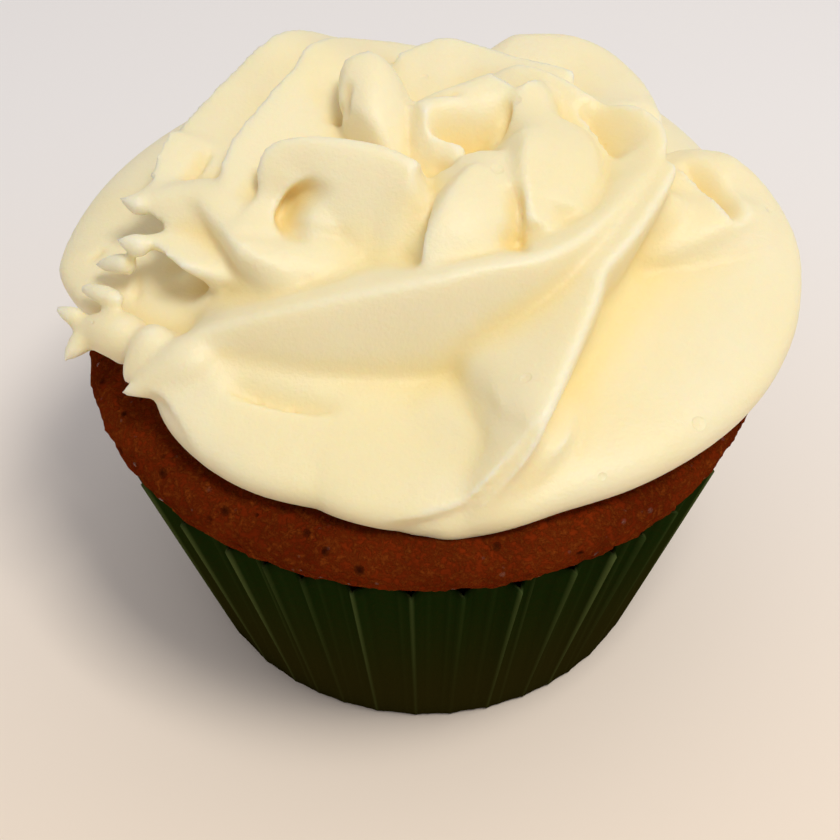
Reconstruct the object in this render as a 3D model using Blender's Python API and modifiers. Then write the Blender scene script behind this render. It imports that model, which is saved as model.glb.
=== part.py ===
"""Frosted cupcake: a domed cake in a pleated paper case, with one piped swirl of frosting.

Run it with blender --background --python part.py, or from Blender's text editor.
Sizes below are in millimetres and are turned into metres when each mesh is made.
The case stands on z = 0, centred on the origin. The front of the cupcake faces -Y.
"""
import math
from collections import namedtuple

import bmesh
import bpy
import numpy as np

MILLIMETRE = 0.001

# Paper case
CASE_HEIGHT = 33.0
CASE_BASE_RADIUS = 27.4
CASE_TOP_RADIUS = 34.9
CASE_PLEATS = 43
CASE_PLEAT_DEPTH = 1.2
CASE_PLEAT_POWER = 0.5
CASE_WALL = 0.5
CASE_FOOT_ROUNDING = 0.6
CASE_WALL_LEVELS = 5

# Cake
FIT_GAP = 0.3
CAKE_LIP_RADIUS = 36.4
CAKE_LIP_HEIGHT = 36.8
CAKE_LIP_UNDERSIDE = 33.4
CAKE_SHOULDER_RADIUS = 33.0
CAKE_SHOULDER_HEIGHT = 39.8
CAKE_CROWN_HEIGHT = 43.0
CAKE_STEPS = 64
CAKE_CROWN_POWER = 2.2
CAKE_NECK_DROP = 1.5
CAKE_UNEVENNESS = 0.25
MERGE_DISTANCE = 0.001

# Waves round the cake's lip: how many there are, how far they are turned, and their share
LIP_WAVES = ((2, 0.6, 0.6), (5, 2.0, 0.4))

# Frosting dome: each size is given at the right, back, left and front of the cupcake
SEAT_HEIGHT = 43.0
SEAT_BOTTOM = 20.0
DOME_EQUATOR = (44.5, 45.5, 45.0, 42.6)
DOME_OUTER_RADIUS = (36.4, 37.0, 35.6, 32.2)
DOME_OUTER_CROWN = (50.0, 51.5, 49.5, 46.8)
DOME_INNER_RADIUS = (20.0, 25.0, 28.0, 18.0)
DOME_INNER_CROWN = (53.5, 53.5, 53.5, 53.5)
DOME_FOOT_HEIGHT = 37.6
DOME_OUTER_POWER = 2.3
DOME_INNER_POWER = 2.4
DOME_UNDER_POWER = 3.0
FARTHEST = 60.0
DOME_BLEND = 0.9
DOME_BLEND_SHARE = 0.35

# Rays of the dome, how it is evened and softened, and what is left of its triangles
RAYS_ROUND = 300
RAYS_DOWN = 130
REMESH_SIZE = 0.62
SOFTEN_FACTOR = 0.5
SOFTEN_ROUNDS = 2
FROSTING_TRIANGLES = 8600

# How ridges that cross are blended
RIDGE_BLEND = 1.76
RIDGE_BLEND_SHARE = 0.3
RIDGE_SAMPLES = 90
LEAN_POWER = 1.3
LEAN_FULL_HEIGHT = 3.0
LEAN_MOST = 1.2
LEAN_FADE = 0.06
LOBE_POWER = 1.3
FADE_POWER = 0.6
TINY = 1e-6

# A ridge is a crest piped over the dome. Its stations give azimuth in degrees, radius and height.
# Left and right of its travel, seen from above, a flank has a width and a shape: a round lobe,
# or a hollow whose depth is the number. Lean tips the crest to the left, or to the right if negative.
Ridge = namedtuple("Ridge", "azimuths radii heights left right lean lip fades")
LOBE = 0

RIDGES = {
    "front lip": Ridge(
        (85, 58, 40, 28, 19, 11, 2, -8, -31, -50, -72, -92, -117, -133, -143, -146),
        (18.2, 18.9, 20.0, 22.2, 24.4, 25.2, 24.0, 21.6, 19.0, 17.6, 15.8, 16.0, 18.4, 22.8, 28.0, 35.2),
        (58.4, 59.5, 59.7, 59.7, 59.3, 58.8, 58.2, 57.8, 57.5, 57.5, 57.2, 56.3, 54.6, 52.6, 49.8, 45.8),
        (11, 1.5), (4.5, 1.5), -1, 0.5, (0.08, 0.01),
    ),
    "front fold": Ridge(
        (17, 8, -3, -24, -38, -46, -63, -70, -75, -81, -88, -94),
        (26.4, 26.2, 25.0, 22.6, 22.0, 23.4, 28.2, 31.5, 33.4, 34.3, 34.3, 33.5),
        (58.4, 58.4, 58.0, 57.0, 56.0, 55.0, 52.6, 51.2, 49.0, 46.4, 43.8, 42.0),
        (8, 1.5), (3.5, 1.4), -1.2, 0.5, (0.1, 0.05),
    ),
    "left petal": Ridge(
        (-150, -158, -167, -180, -168, -70),
        (20.4, 21.2, 20.6, 15.4, 5.6, 4.9),
        (55.2, 57.1, 59.0, 61.1, 61.4, 60.0),
        (4.5, 1.5), (10, 1.9), 1.2, 0.5, (0.05, 0.1),
    ),
    "middle fold": Ridge(
        (-8, -66, -84, -93),
        (5.5, 7.0, 10.0, 13.4),
        (60.0, 60.0, 58.6, 55.8),
        (11, LOBE), (3.2, 1.3), -0.6, 0.4, (0.1, 0.05),
    ),
    "rear of the peak": Ridge(
        (115, 65, 48),
        (6.0, 9.4, 15.8),
        (60.4, 61.2, 62.0),
        (6, LOBE), (5.5, 1.6), 0.3, 0.4, (0.2, 0.02),
    ),
    "front of the peak": Ridge(
        (48, 19, -22, -42),
        (15.8, 11.3, 10.6, 14.4),
        (62.0, 61.4, 60.2, 57.2),
        (10.5, LOBE), (3.6, 1.5), -0.7, 0.4, (0.02, 0.05),
    ),
    "right lobe": Ridge(
        (38, 5, -20, -34),
        (17.5, 15.5, 15.0, 15.0),
        (59.3, 59.3, 58.2, 57.0),
        (6, LOBE), (5.5, LOBE), 0, 1, (0.2, 0.15),
    ),
    "rear right crest": Ridge(
        (104, 92, 84, 74, 60, 48, 36),
        (21.9, 23.8, 24.8, 23.9, 22.9, 23.7, 24.6),
        (56.2, 56.9, 57.5, 57.3, 57.7, 57.9, 57.8),
        (5, 1.3), (4, 1.4), 0.3, 0.4, (0.1, 0.15),
    ),
    "rear rim": Ridge(
        (84, 64, 55, 45, 34, 24),
        (29.2, 32.4, 34.2, 32.6, 29.4, 27.0),
        (54.2, 54.8, 54.2, 53.8, 54.2, 55.4),
        (7, LOBE), (6, 1.2), 0, 1, (0.2, 0.15),
    ),
    "front right lobe": Ridge(
        (18, 12, 8, 6, 4, -2, -12, -22, -37, -60, -76, -92),
        (26.6, 28.4, 31.0, 33.8, 36.0, 37.2, 36.8, 35.8, 34.0, 33.4, 34.4, 34.8),
        (56.6, 56.2, 55.4, 54.0, 52.0, 49.8, 48.4, 47.6, 46.8, 44.8, 42.2, 40.4),
        (8, LOBE), (7, LOBE), 0, 1.2, (0.1, 0.05),
    ),
    "front left lobe": Ridge(
        (-129, -122, -110, -97, -84, -74, -67),
        (29.0, 30.8, 31.8, 32.0, 31.4, 30.4, 29.2),
        (43.0, 43.8, 44.2, 44.5, 45.4, 46.8, 48.4),
        (6.5, LOBE), (6.5, LOBE), 0, 1.5, (0.12, 0.1),
    ),
    "tall curl": Ridge(
        (117, 120, 130, 147),
        (16.1, 13.8, 11.1, 9.4),
        (62.4, 62.6, 61.6, 59.0),
        (3.3, LOBE), (3.3, LOBE), 0, 0.8, (0.04, 0.2),
    ),
    "left fold": Ridge(
        (-167, -191, -215, -237, -258, -285),
        (21.3, 20.8, 20.4, 23.2, 28.5, 36.5),
        (56.3, 57.2, 58.4, 59.8, 55.0, 47.5),
        (4.5, 1.4), (5.5, 1.1), 0.8, 0.4, (0.05, 0.1),
    ),
    "rear left fold": Ridge(
        (180, 165, 150, 138, 122, 108, 92),
        (27.5, 28.4, 29.0, 29.8, 31.4, 35.0, 38.0),
        (54.8, 54.6, 54.6, 55.2, 56.8, 52.0, 46.0),
        (5, 1.2), (5, 1.2), 0.5, 0.3, (0.1, 0.1),
    ),
    "left strip": Ridge(
        (-178, -190, -205),
        (28.5, 28.8, 29.5),
        (54.9, 55.2, 55.4),
        (3, 1.3), (3, 1.4), 0.5, 0.4, (0.1, 0.2),
    ),
    "left lobe": Ridge(
        (-166, -178, -198, -225),
        (36.6, 37.4, 35.6, 33.0),
        (46.5, 47.0, 47.5, 48.5),
        (7, LOBE), (8, LOBE), 0, 1, (0.2, 0.2),
    ),
    "upper tail": Ridge(
        (-178, -177, -175, -165, -152, -142, -128),
        (30.6, 27.2, 23.8, 21.7, 20.8, 20.0, 18.6),
        (54.4, 55.4, 56.2, 56.6, 56.4, 55.8, 55.0),
        (4, LOBE), (8, 1.4), -0.3, 0.5, (0.02, 0.3),
    ),
    "lower tail": Ridge(
        (-168, -166, -159, -150),
        (31.0, 28.4, 26.6, 24.6),
        (53.5, 53.9, 53.6, 52.6),
        (3, 1.4), (3.5, 1.4), -0.2, 0.4, (0.02, 0.3),
    ),
    "back outer fold": Ridge(
        (170, 150, 118),
        (29.0, 31.4, 37.5),
        (53.0, 51.6, 46.2),
        (9, 1.7), (6, 1.5), 0.8, 0.5, (0.3, 0.2),
    ),
    "peak lobe": Ridge(
        (30, -10, -40, -62),
        (9.6, 9.2, 10.0, 12.0),
        (59.4, 59.4, 58.4, 56.2),
        (6, LOBE), (6, LOBE), 0, 1, (0.2, 0.3),
    ),
    "small curl": Ridge(
        (100, 60, 25),
        (4.2, 5.0, 6.4),
        (58.8, 59.5, 58.8),
        (2.4, LOBE), (2.4, LOBE), 0, 0.6, (0.2, 0.2),
    ),
}

# Swells of the dome's foot: azimuth, half width in degrees and depth
Swell = namedtuple("Swell", "azimuth half_width depth")
SWELLS = (
    Swell(-120, 14, 1.0),
    Swell(-156, 12, -3.6),
    Swell(-82, 16, 0.8),
    Swell(-30, 15, 1.2),
    Swell(50, 18, 1.3),
)

# Pockets between the folds: azimuth, radius, height, width and depth
Pocket = namedtuple("Pocket", "azimuth radius height width depth")
POCKETS = (
    Pocket(-164, 15.2, 56.5, 2.0, 4.4),
    Pocket(-150, 15, 55, 1.3, 1.6),
    Pocket(38, 9.0, 58, 2.2, 4.2),
    Pocket(62, 2.4, 58, 1.1, 1.6),
    Pocket(30, 18.0, 57, 1.8, 1.6),
    Pocket(5, 30.4, 53, 1.7, 3.0),
    Pocket(-162, 30.4, 50, 1.3, 3.6),
    Pocket(131, 14.2, 57, 1.4, 2.2),
    Pocket(-48, 14.6, 57, 1.0, 1.4),
    Pocket(-170, 33.7, 50.5, 0.9, 1.4),
    Pocket(-165, 34.3, 48.5, 0.9, 1.4),
)

# Torn bits of the tail: where each starts and ends (azimuth, radius, height) and both its radii
Shred = namedtuple("Shred", "start end start_radius end_radius")
SHREDS = (
    Shred((-154, 31, 46.5), (-165, 37.4, 44.8), 3.2, 1.4),
    Shred((-162, 35.8, 45.2), (-159.5, 39.2, 43.6), 1.7, 0.45),
    Shred((-164, 36.0, 45.8), (-167.5, 39, 46.2), 1.4, 0.45),
    Shred((-156, 32, 45.4), (-158, 34.6, 44.4), 2.2, 1.4),
    Shred((-141, 25.5, 47.2), (-146.4, 35.6, 45.0), 4.6, 0.9),
    Shred((-152, 28.5, 47.5), (-149, 34.6, 44.8), 3.4, 1.4),
    Shred((-176, 28, 54), (-178.6, 31.3, 54.3), 1.6, 0.45),
    Shred((-166, 28.4, 52.8), (-168.4, 31.6, 53.6), 1.7, 0.45),
    Shred((-166, 30, 51.2), (-171, 34.2, 49.4), 1.5, 0.6),
    Shred((-161, 32, 48.8), (-169, 36.4, 48), 1.4, 0.6),
)
SHRED_SEGMENTS = 14

# Colours in linear light
FROSTING_COLOUR = (0.87, 0.74, 0.44, 1.0)
CAKE_COLOUR = (0.13, 0.022, 0.006, 1.0)
PAPER_COLOUR = (0.012, 0.022, 0.004, 1.0)
FROSTING_ROUGHNESS = 0.4
CAKE_ROUGHNESS = 0.75
PAPER_ROUGHNESS = 0.5

# Edges sharper than these angles in degrees are shaded as edges
PAPER_EDGES = 20
CAKE_EDGES = 60
FROSTING_EDGES = 80


def clear_scene():
    for old in list(bpy.data.objects):
        bpy.data.objects.remove(old)


def make_collection(name, hidden):
    collection = bpy.data.collections.new(name)
    collection.hide_render = hidden
    bpy.context.scene.collection.children.link(collection)
    return collection


def make_material(name, colour, roughness):
    material = bpy.data.materials.new(name)
    material.use_nodes = True
    shader = material.node_tree.nodes["Principled BSDF"]
    shader.inputs["Base Color"].default_value = colour
    shader.inputs["Roughness"].default_value = roughness
    shader.inputs["Metallic"].default_value = 0.0
    material.diffuse_color = colour
    return material


def object_from_bmesh(mesh_builder, name, collection):
    """Scales a bmesh from millimetres to metres and makes an object of it."""
    bmesh.ops.scale(mesh_builder, vec=(MILLIMETRE,) * 3, verts=mesh_builder.verts)
    bmesh.ops.recalc_face_normals(mesh_builder, faces=mesh_builder.faces)
    mesh = bpy.data.meshes.new(name)
    mesh_builder.to_mesh(mesh)
    mesh_builder.free()
    made = bpy.data.objects.new(name, mesh)
    collection.objects.link(made)
    return made


def apply_modifiers(target):
    """Replaces an object's mesh by what its modifiers make of it."""
    bpy.context.view_layer.update()
    graph = bpy.context.evaluated_depsgraph_get()
    finished = bpy.data.meshes.new_from_object(target.evaluated_get(graph))
    target.modifiers.clear()
    target.data = finished


def to_xyz(azimuth, radius, height):
    """Point from an azimuth in degrees, a radius and a height."""
    angle = math.radians(azimuth)
    return np.array((radius * math.cos(angle), radius * math.sin(angle), height))


# Paper case


def pleat_ring(mesh_builder, radius, height, depth):
    """A ring that zigzags in and out once for each pleat."""
    corners = 2 * CASE_PLEATS
    made = bmesh.ops.create_circle(mesh_builder, segments=corners, radius=radius, cap_ends=False)
    for vert in made["verts"]:
        angle = math.atan2(vert.co.y, vert.co.x)
        corner = round(angle / (2 * math.pi) * corners) % corners
        pleated = radius + (depth / 2 if corner % 2 else -depth / 2)
        vert.co = (pleated * math.cos(angle), pleated * math.sin(angle), height)
    return made["verts"]


def ring_edges(verts):
    ring = set(verts)
    return [edge for edge in {e for v in verts for e in v.link_edges} if set(edge.verts) <= ring]


def bridge_rings(mesh_builder, rings):
    for lower, upper in zip(rings, rings[1:]):
        bmesh.ops.bridge_loops(mesh_builder, edges=ring_edges(lower) + ring_edges(upper))


def build_case(collection):
    mesh_builder = bmesh.new()
    rings = []
    floor_radius = CASE_BASE_RADIUS - CASE_FOOT_ROUNDING
    rings.append(pleat_ring(mesh_builder, floor_radius, 0.0, 0.0))
    for level in range(CASE_WALL_LEVELS + 1):
        share = level / CASE_WALL_LEVELS
        height = CASE_FOOT_ROUNDING + (CASE_HEIGHT - CASE_FOOT_ROUNDING) * share
        radius = CASE_BASE_RADIUS + (CASE_TOP_RADIUS - CASE_BASE_RADIUS) * share
        rings.append(pleat_ring(mesh_builder, radius, height, CASE_PLEAT_DEPTH * share**CASE_PLEAT_POWER))
    for level in range(CASE_WALL_LEVELS, -1, -1):
        share = level / CASE_WALL_LEVELS
        height = CASE_WALL + CASE_FOOT_ROUNDING + (CASE_HEIGHT - CASE_WALL - CASE_FOOT_ROUNDING) * share
        radius = CASE_BASE_RADIUS + (CASE_TOP_RADIUS - CASE_BASE_RADIUS) * share - CASE_WALL
        rings.append(pleat_ring(mesh_builder, radius, height, CASE_PLEAT_DEPTH * share**CASE_PLEAT_POWER))
    rings.append(pleat_ring(mesh_builder, floor_radius - CASE_WALL, CASE_WALL, 0.0))
    bridge_rings(mesh_builder, rings)
    for ring in (rings[0], rings[-1]):
        bmesh.ops.contextual_create(mesh_builder, geom=ring_edges(ring))
    return object_from_bmesh(mesh_builder, "paper_case", collection)


# Cake


def cake_profile():
    """Radius and height down the cake's outside, from the crown to the middle of its base."""
    points = [(0.0, CAKE_CROWN_HEIGHT)]
    dome_steps = 5
    for step in range(1, dome_steps + 1):
        share = step / dome_steps
        drop = (CAKE_CROWN_HEIGHT - CAKE_SHOULDER_HEIGHT) * share**CAKE_CROWN_POWER
        points.append((CAKE_SHOULDER_RADIUS * share, CAKE_CROWN_HEIGHT - drop))
    lip_steps = 4
    for step in range(1, lip_steps + 1):
        turn = math.radians(90 * step / lip_steps)
        radius = CAKE_SHOULDER_RADIUS + (CAKE_LIP_RADIUS - CAKE_SHOULDER_RADIUS) * math.sin(turn)
        height = CAKE_LIP_HEIGHT + (CAKE_SHOULDER_HEIGHT - CAKE_LIP_HEIGHT) * math.cos(turn)
        points.append((radius, height))
    inside_top = CASE_TOP_RADIUS - CASE_PLEAT_DEPTH / 2 - CASE_WALL - FIT_GAP
    for step in range(1, lip_steps + 1):
        turn = math.radians(90 * step / lip_steps)
        radius = inside_top + (CAKE_LIP_RADIUS - inside_top) * math.cos(turn)
        height = CAKE_LIP_HEIGHT - (CAKE_LIP_HEIGHT - CAKE_LIP_UNDERSIDE) * math.sin(turn)
        points.append((radius, height))
    inside_base = CASE_BASE_RADIUS - CASE_WALL - CASE_FOOT_ROUNDING - FIT_GAP
    base_height = CASE_WALL + FIT_GAP
    neck_height = CASE_HEIGHT - CAKE_NECK_DROP
    share = neck_height / CASE_HEIGHT
    points.append((inside_base + (inside_top - inside_base) * share - FIT_GAP, neck_height))
    points.append((inside_base - FIT_GAP, base_height + CASE_FOOT_ROUNDING))
    points.append((inside_base - CASE_FOOT_ROUNDING - FIT_GAP, base_height))
    points.append((0.0, base_height))
    return points


def lip_wave(angle):
    """Uneven rise of the lip round the cake."""
    return CAKE_UNEVENNESS * sum(share * math.sin(count * angle + turn) for count, turn, share in LIP_WAVES)


def spin_profile(profile):
    """The body that a profile of radii and heights makes when it is spun round the z axis."""
    mesh_builder = bmesh.new()
    verts = [mesh_builder.verts.new((radius, 0.0, height)) for radius, height in profile]
    edges = [mesh_builder.edges.new(pair) for pair in zip(verts, verts[1:])]
    bmesh.ops.spin(
        mesh_builder,
        geom=verts + edges,
        cent=(0, 0, 0),
        axis=(0, 0, 1),
        angle=2 * math.pi,
        steps=CAKE_STEPS,
        use_merge=True,
        use_duplicate=False,
    )
    bmesh.ops.remove_doubles(mesh_builder, verts=mesh_builder.verts, dist=MERGE_DISTANCE)
    return mesh_builder


def build_cake(collection):
    mesh_builder = spin_profile(cake_profile())
    middle_of_lip = (CAKE_SHOULDER_RADIUS + CAKE_LIP_RADIUS) / 2
    for vert in mesh_builder.verts:
        radius = math.hypot(vert.co.x, vert.co.y)
        if radius > middle_of_lip:
            swell = 1 + lip_wave(math.atan2(vert.co.y, vert.co.x)) / radius
            vert.co.x *= swell
            vert.co.y *= swell
    return object_from_bmesh(mesh_builder, "cake", collection)


def build_seat(collection):
    """The cake's top raised by the gap, closed far below: it cuts the frosting's underside."""
    outline = []
    for radius, height in cake_profile():
        if height >= CAKE_LIP_UNDERSIDE and radius <= CAKE_LIP_RADIUS:
            outline.append((radius, height))
    lip = outline.index(max(outline))
    raised = [(radius + (FIT_GAP + CAKE_UNEVENNESS) * radius / CAKE_LIP_RADIUS, height + FIT_GAP)
              for radius, height in outline[:lip + 1]]
    raised.append((raised[-1][0], SEAT_BOTTOM))
    raised.append((0.0, SEAT_BOTTOM))
    seat = object_from_bmesh(spin_profile(raised), "frosting_seat", collection)
    seat.hide_render = True
    seat.display_type = "WIRE"
    return seat


# Frosting dome


def around(azimuth, sides):
    """Smooth value round the dome through its four named sides."""
    values = np.array(sides, float)
    turn = (azimuth / (math.pi / 2)) % 4
    side = np.floor(turn).astype(int) % 4
    share = turn - np.floor(turn)
    before, here, after, beyond = (values[(side + step) % 4] for step in (-1, 0, 1, 2))
    slope_here = np.where((here - before) * (after - here) > 0, (after - before) / 2, 0)
    slope_after = np.where((after - here) * (beyond - after) > 0, (beyond - here) / 2, 0)
    cube = share**3
    square = share**2
    value = (2 * cube - 3 * square + 1) * here + (3 * square - 2 * cube) * after
    return value + (cube - 2 * square + share) * slope_here + (cube - square) * slope_after


def bowl_distance(azimuth, polar, radius, crown, power, equator):
    """How far a ray from the seat goes before it leaves a rounded bowl."""
    sine = np.sin(polar)
    cosine = np.cos(polar)
    near = np.zeros_like(azimuth)
    far = np.full_like(azimuth, FARTHEST)
    halvings = 30
    for _ in range(halvings):
        middle = (near + far) / 2
        height = SEAT_HEIGHT + middle * cosine
        above = height > equator
        rise = np.where(above, crown - equator, equator - DOME_FOOT_HEIGHT)
        steep = np.where(above, power, DOME_UNDER_POWER)
        inside = (middle * sine / radius) ** steep + (np.abs(height - equator) / rise) ** steep < 1
        near = np.where(inside, middle, near)
        far = np.where(inside, far, middle)
    return (near + far) / 2


def dome_distance(azimuth, polar):
    """Distance from the seat to the dome that the folds lie on: an inner mound in an outer round."""
    equator = around(azimuth, DOME_EQUATOR)
    outer_radius = around(azimuth, DOME_OUTER_RADIUS)
    for swell in SWELLS:
        turn = (azimuth - math.radians(swell.azimuth) + math.pi) % (2 * math.pi) - math.pi
        outer_radius = outer_radius + swell.depth * np.exp(-((turn / math.radians(swell.half_width)) ** 2))
    outer_crown = around(azimuth, DOME_OUTER_CROWN)
    inner_radius = around(azimuth, DOME_INNER_RADIUS)
    inner_crown = around(azimuth, DOME_INNER_CROWN)
    outer = bowl_distance(azimuth, polar, outer_radius, outer_crown, DOME_OUTER_POWER, equator)
    inner = bowl_distance(azimuth, polar, inner_radius, inner_crown, DOME_INNER_POWER, equator)
    larger = np.maximum(outer, inner)
    smaller = np.minimum(outer, inner)
    return larger + np.log1p(np.exp(DOME_BLEND * (smaller - larger))) / DOME_BLEND * DOME_BLEND_SHARE


def smooth_path(stations):
    """Smooth curve through the stations."""
    points = np.vstack([2 * stations[0] - stations[1], stations, 2 * stations[-1] - stations[-2]])
    spans = len(stations) - 1
    place = np.linspace(0, spans, RIDGE_SAMPLES)
    span = np.minimum(place.astype(int), spans - 1)
    share = (place - span)[:, None]
    before, here, after, beyond = (points[span + step] for step in (0, 1, 2, 3))
    bend = (2 * before - 5 * here + 4 * after - beyond) * share**2
    twist = (3 * here - before - 3 * after + beyond) * share**3
    return (2 * here + (after - before) * share + bend + twist) / 2


def nearest_on_path(points, path):
    """Distance from each point to a path, and where along it the nearest place is."""
    nearest = ((points[:, None, :] - path[None]) ** 2).sum(2).argmin(1)
    best_distance = np.full(len(points), np.inf)
    best_place = np.zeros(len(points))
    for step in (-1, 1):
        other = np.clip(nearest + step, 0, len(path) - 1)
        span = path[other] - path[nearest]
        length = np.maximum((span * span).sum(1), TINY)
        share = np.clip(((points - path[nearest]) * span).sum(1) / length, 0, 1)
        distance = np.linalg.norm(points - path[nearest] - span * share[:, None], axis=1)
        closer = distance < best_distance
        best_distance = np.where(closer, distance, best_distance)
        best_place = np.where(closer, nearest + (other - nearest) * share, best_place)
    return best_distance, best_place


def flank_share(distance, shape, lip):
    """How much of a ridge's height is left at a distance from its crest."""
    width, hollow = shape
    rounded = np.sqrt(distance**2 + lip**2) - lip
    share = np.clip(rounded / width, 0, 1)
    if hollow == LOBE:
        return (1 - share**2) ** LOBE_POWER
    return (1 - share) ** hollow


def ridge_on_dome(ridge, points):
    """Height that a ridge adds along the rays at points of the dome, and how far it leans there."""
    stations = [to_xyz(*station) for station in zip(ridge.azimuths, ridge.radii, ridge.heights)]
    crest = smooth_path(np.array(stations)) - (0, 0, SEAT_HEIGHT)
    samples = np.arange(RIDGE_SAMPLES)
    end_share = np.minimum(samples, RIDGE_SAMPLES - 1 - samples) / (RIDGE_SAMPLES - 1)
    lean_along = ridge.lean * np.clip(end_share / LEAN_FADE, 0, 1)
    for unlean in (True, False):
        reach = np.linalg.norm(crest, axis=1)
        ray = crest / reach[:, None]
        dome = dome_distance(np.arctan2(ray[:, 1], ray[:, 0]), np.arccos(ray[:, 2]))
        path = ray * dome[:, None] + (0, 0, SEAT_HEIGHT)
        side = np.cross(ray, np.gradient(path, axis=0))
        side /= np.linalg.norm(side, axis=1)[:, None]
        if unlean:
            lean = lean_along * np.clip((reach - dome) / LEAN_FULL_HEIGHT, 0, LEAN_MOST)
            crest = crest - side * lean[:, None]
    lengths = np.linalg.norm(np.diff(path, axis=0), axis=1)
    along = np.concatenate([[0], np.cumsum(lengths)]) / lengths.sum()
    fade_in = np.clip(along / ridge.fades[0], 0, 1) ** FADE_POWER
    fade_out = np.clip((1 - along) / ridge.fades[1], 0, 1) ** FADE_POWER
    rise = (reach - dome) * fade_in * fade_out
    margin = max(ridge.left[0], ridge.right[0]) + 2 * ridge.lip
    low = path.min(0) - margin
    high = path.max(0) + margin
    close = np.where(((points >= low) & (points <= high)).all(1))[0]
    height = np.zeros(len(points))
    shift = np.zeros((len(points), 3))
    chunk = 8000
    for start in range(0, len(close), chunk):
        rows = close[start:start + chunk]
        distance, place = nearest_on_path(points[rows], path)
        rise_here = np.interp(place, samples, rise)
        side_here = np.stack([np.interp(place, samples, side[:, axis]) for axis in range(3)], 1)
        foot_here = np.stack([np.interp(place, samples, path[:, axis]) for axis in range(3)], 1)
        leftness = ((points[rows] - foot_here) * side_here).sum(1) / np.maximum(distance, TINY)
        left_share = 0.5 + 0.5 * np.clip(leftness, -1, 1)
        left = flank_share(distance, ridge.left, ridge.lip)
        right = flank_share(distance, ridge.right, ridge.lip)
        flank = right + (left - right) * left_share
        height[rows] = rise_here * flank
        lean_here = np.interp(place, samples, lean_along)
        lean = lean_here * flank**LEAN_POWER * np.clip(rise_here / LEAN_FULL_HEIGHT, 0, LEAN_MOST)
        shift[rows] = side_here * lean[:, None]
    return height, shift


def frosting_surface(azimuth, polar):
    """Where the frosting's surface is along each ray from the seat."""
    ray = np.stack([np.sin(polar) * np.cos(azimuth), np.sin(polar) * np.sin(azimuth), np.cos(polar)], 1)
    dome = dome_distance(azimuth, polar)
    points = ray * dome[:, None] + (0, 0, SEAT_HEIGHT)
    heights = []
    shifts = []
    for ridge in RIDGES.values():
        height, shift = ridge_on_dome(ridge, points)
        heights.append(height)
        shifts.append(shift)
    heights = np.stack(heights, 1)
    highest = heights.max(1)
    weights = np.exp(RIDGE_BLEND * (heights - highest[:, None]))
    total = weights.sum(1)
    fill = np.log(total) / RIDGE_BLEND * RIDGE_BLEND_SHARE * np.clip(highest, 0, 1)
    distance = dome + highest + fill
    for pocket in POCKETS:
        centre = to_xyz(pocket.azimuth, pocket.radius, pocket.height) - (0, 0, SEAT_HEIGHT)
        centre /= np.linalg.norm(centre)
        away = np.arccos(np.clip(ray @ centre, -1, 1)) * dome
        distance -= pocket.depth * np.exp(-((away / pocket.width) ** 2))
    lean = np.einsum("nk,nkc->nc", weights / total[:, None], np.stack(shifts, 1))
    return ray * distance[:, None] + lean + (0, 0, SEAT_HEIGHT)


def build_swirl(collection):
    """A sphere whose rays are moved out to the frosting's surface."""
    mesh_builder = bmesh.new()
    bmesh.ops.create_uvsphere(mesh_builder, u_segments=RAYS_ROUND, v_segments=RAYS_DOWN, radius=1.0)
    rays = np.array([vert.co for vert in mesh_builder.verts])
    azimuth = np.arctan2(rays[:, 1], rays[:, 0])
    polar = np.arccos(np.clip(rays[:, 2], -1, 1))
    surface = frosting_surface(azimuth, polar)
    for vert, place in zip(mesh_builder.verts, surface):
        vert.co = place
    return object_from_bmesh(mesh_builder, "frosting", collection)


def build_shred(shred, number, collection):
    """One torn bit of the tail: a cone with round ends from its start to its end."""
    start = to_xyz(*shred.start)
    end = to_xyz(*shred.end)
    direction = (end - start) / np.linalg.norm(end - start)
    across = np.cross(direction, (0, 0, 1))
    across /= np.linalg.norm(across)
    upright = np.cross(across, direction)
    mesh_builder = bmesh.new()
    bmesh.ops.create_uvsphere(
        mesh_builder, u_segments=SHRED_SEGMENTS, v_segments=SHRED_SEGMENTS, radius=1.0
    )
    for vert in mesh_builder.verts:
        share = (vert.co.z + 1) / 2
        radius = shred.start_radius + (shred.end_radius - shred.start_radius) * share
        middle = start + (end - start) * share
        vert.co = middle + (across * vert.co.x + upright * vert.co.y) * radius
    return object_from_bmesh(mesh_builder, "shred_%d" % number, collection)


def keep_largest(target):
    """Drops loose scraps, so that the object is one body."""
    mesh_builder = bmesh.new()
    mesh_builder.from_mesh(target.data)
    unseen = set(mesh_builder.verts)
    bodies = []
    while unseen:
        front = [unseen.pop()]
        body = list(front)
        while front:
            vert = front.pop()
            for edge in vert.link_edges:
                other = edge.other_vert(vert)
                if other in unseen:
                    unseen.remove(other)
                    front.append(other)
                    body.append(other)
        bodies.append(body)
    bodies.sort(key=len)
    scraps = [vert for body in bodies[:-1] for vert in body]
    bmesh.ops.delete(mesh_builder, geom=scraps, context="VERTS")
    mesh_builder.to_mesh(target.data)
    mesh_builder.free()


def make_even(target):
    """Gives an object one closed skin of even squares."""
    even = target.modifiers.new("even", "REMESH")
    even.mode = "VOXEL"
    even.voxel_size = REMESH_SIZE * MILLIMETRE
    even.adaptivity = 0.0
    apply_modifiers(target)


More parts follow.
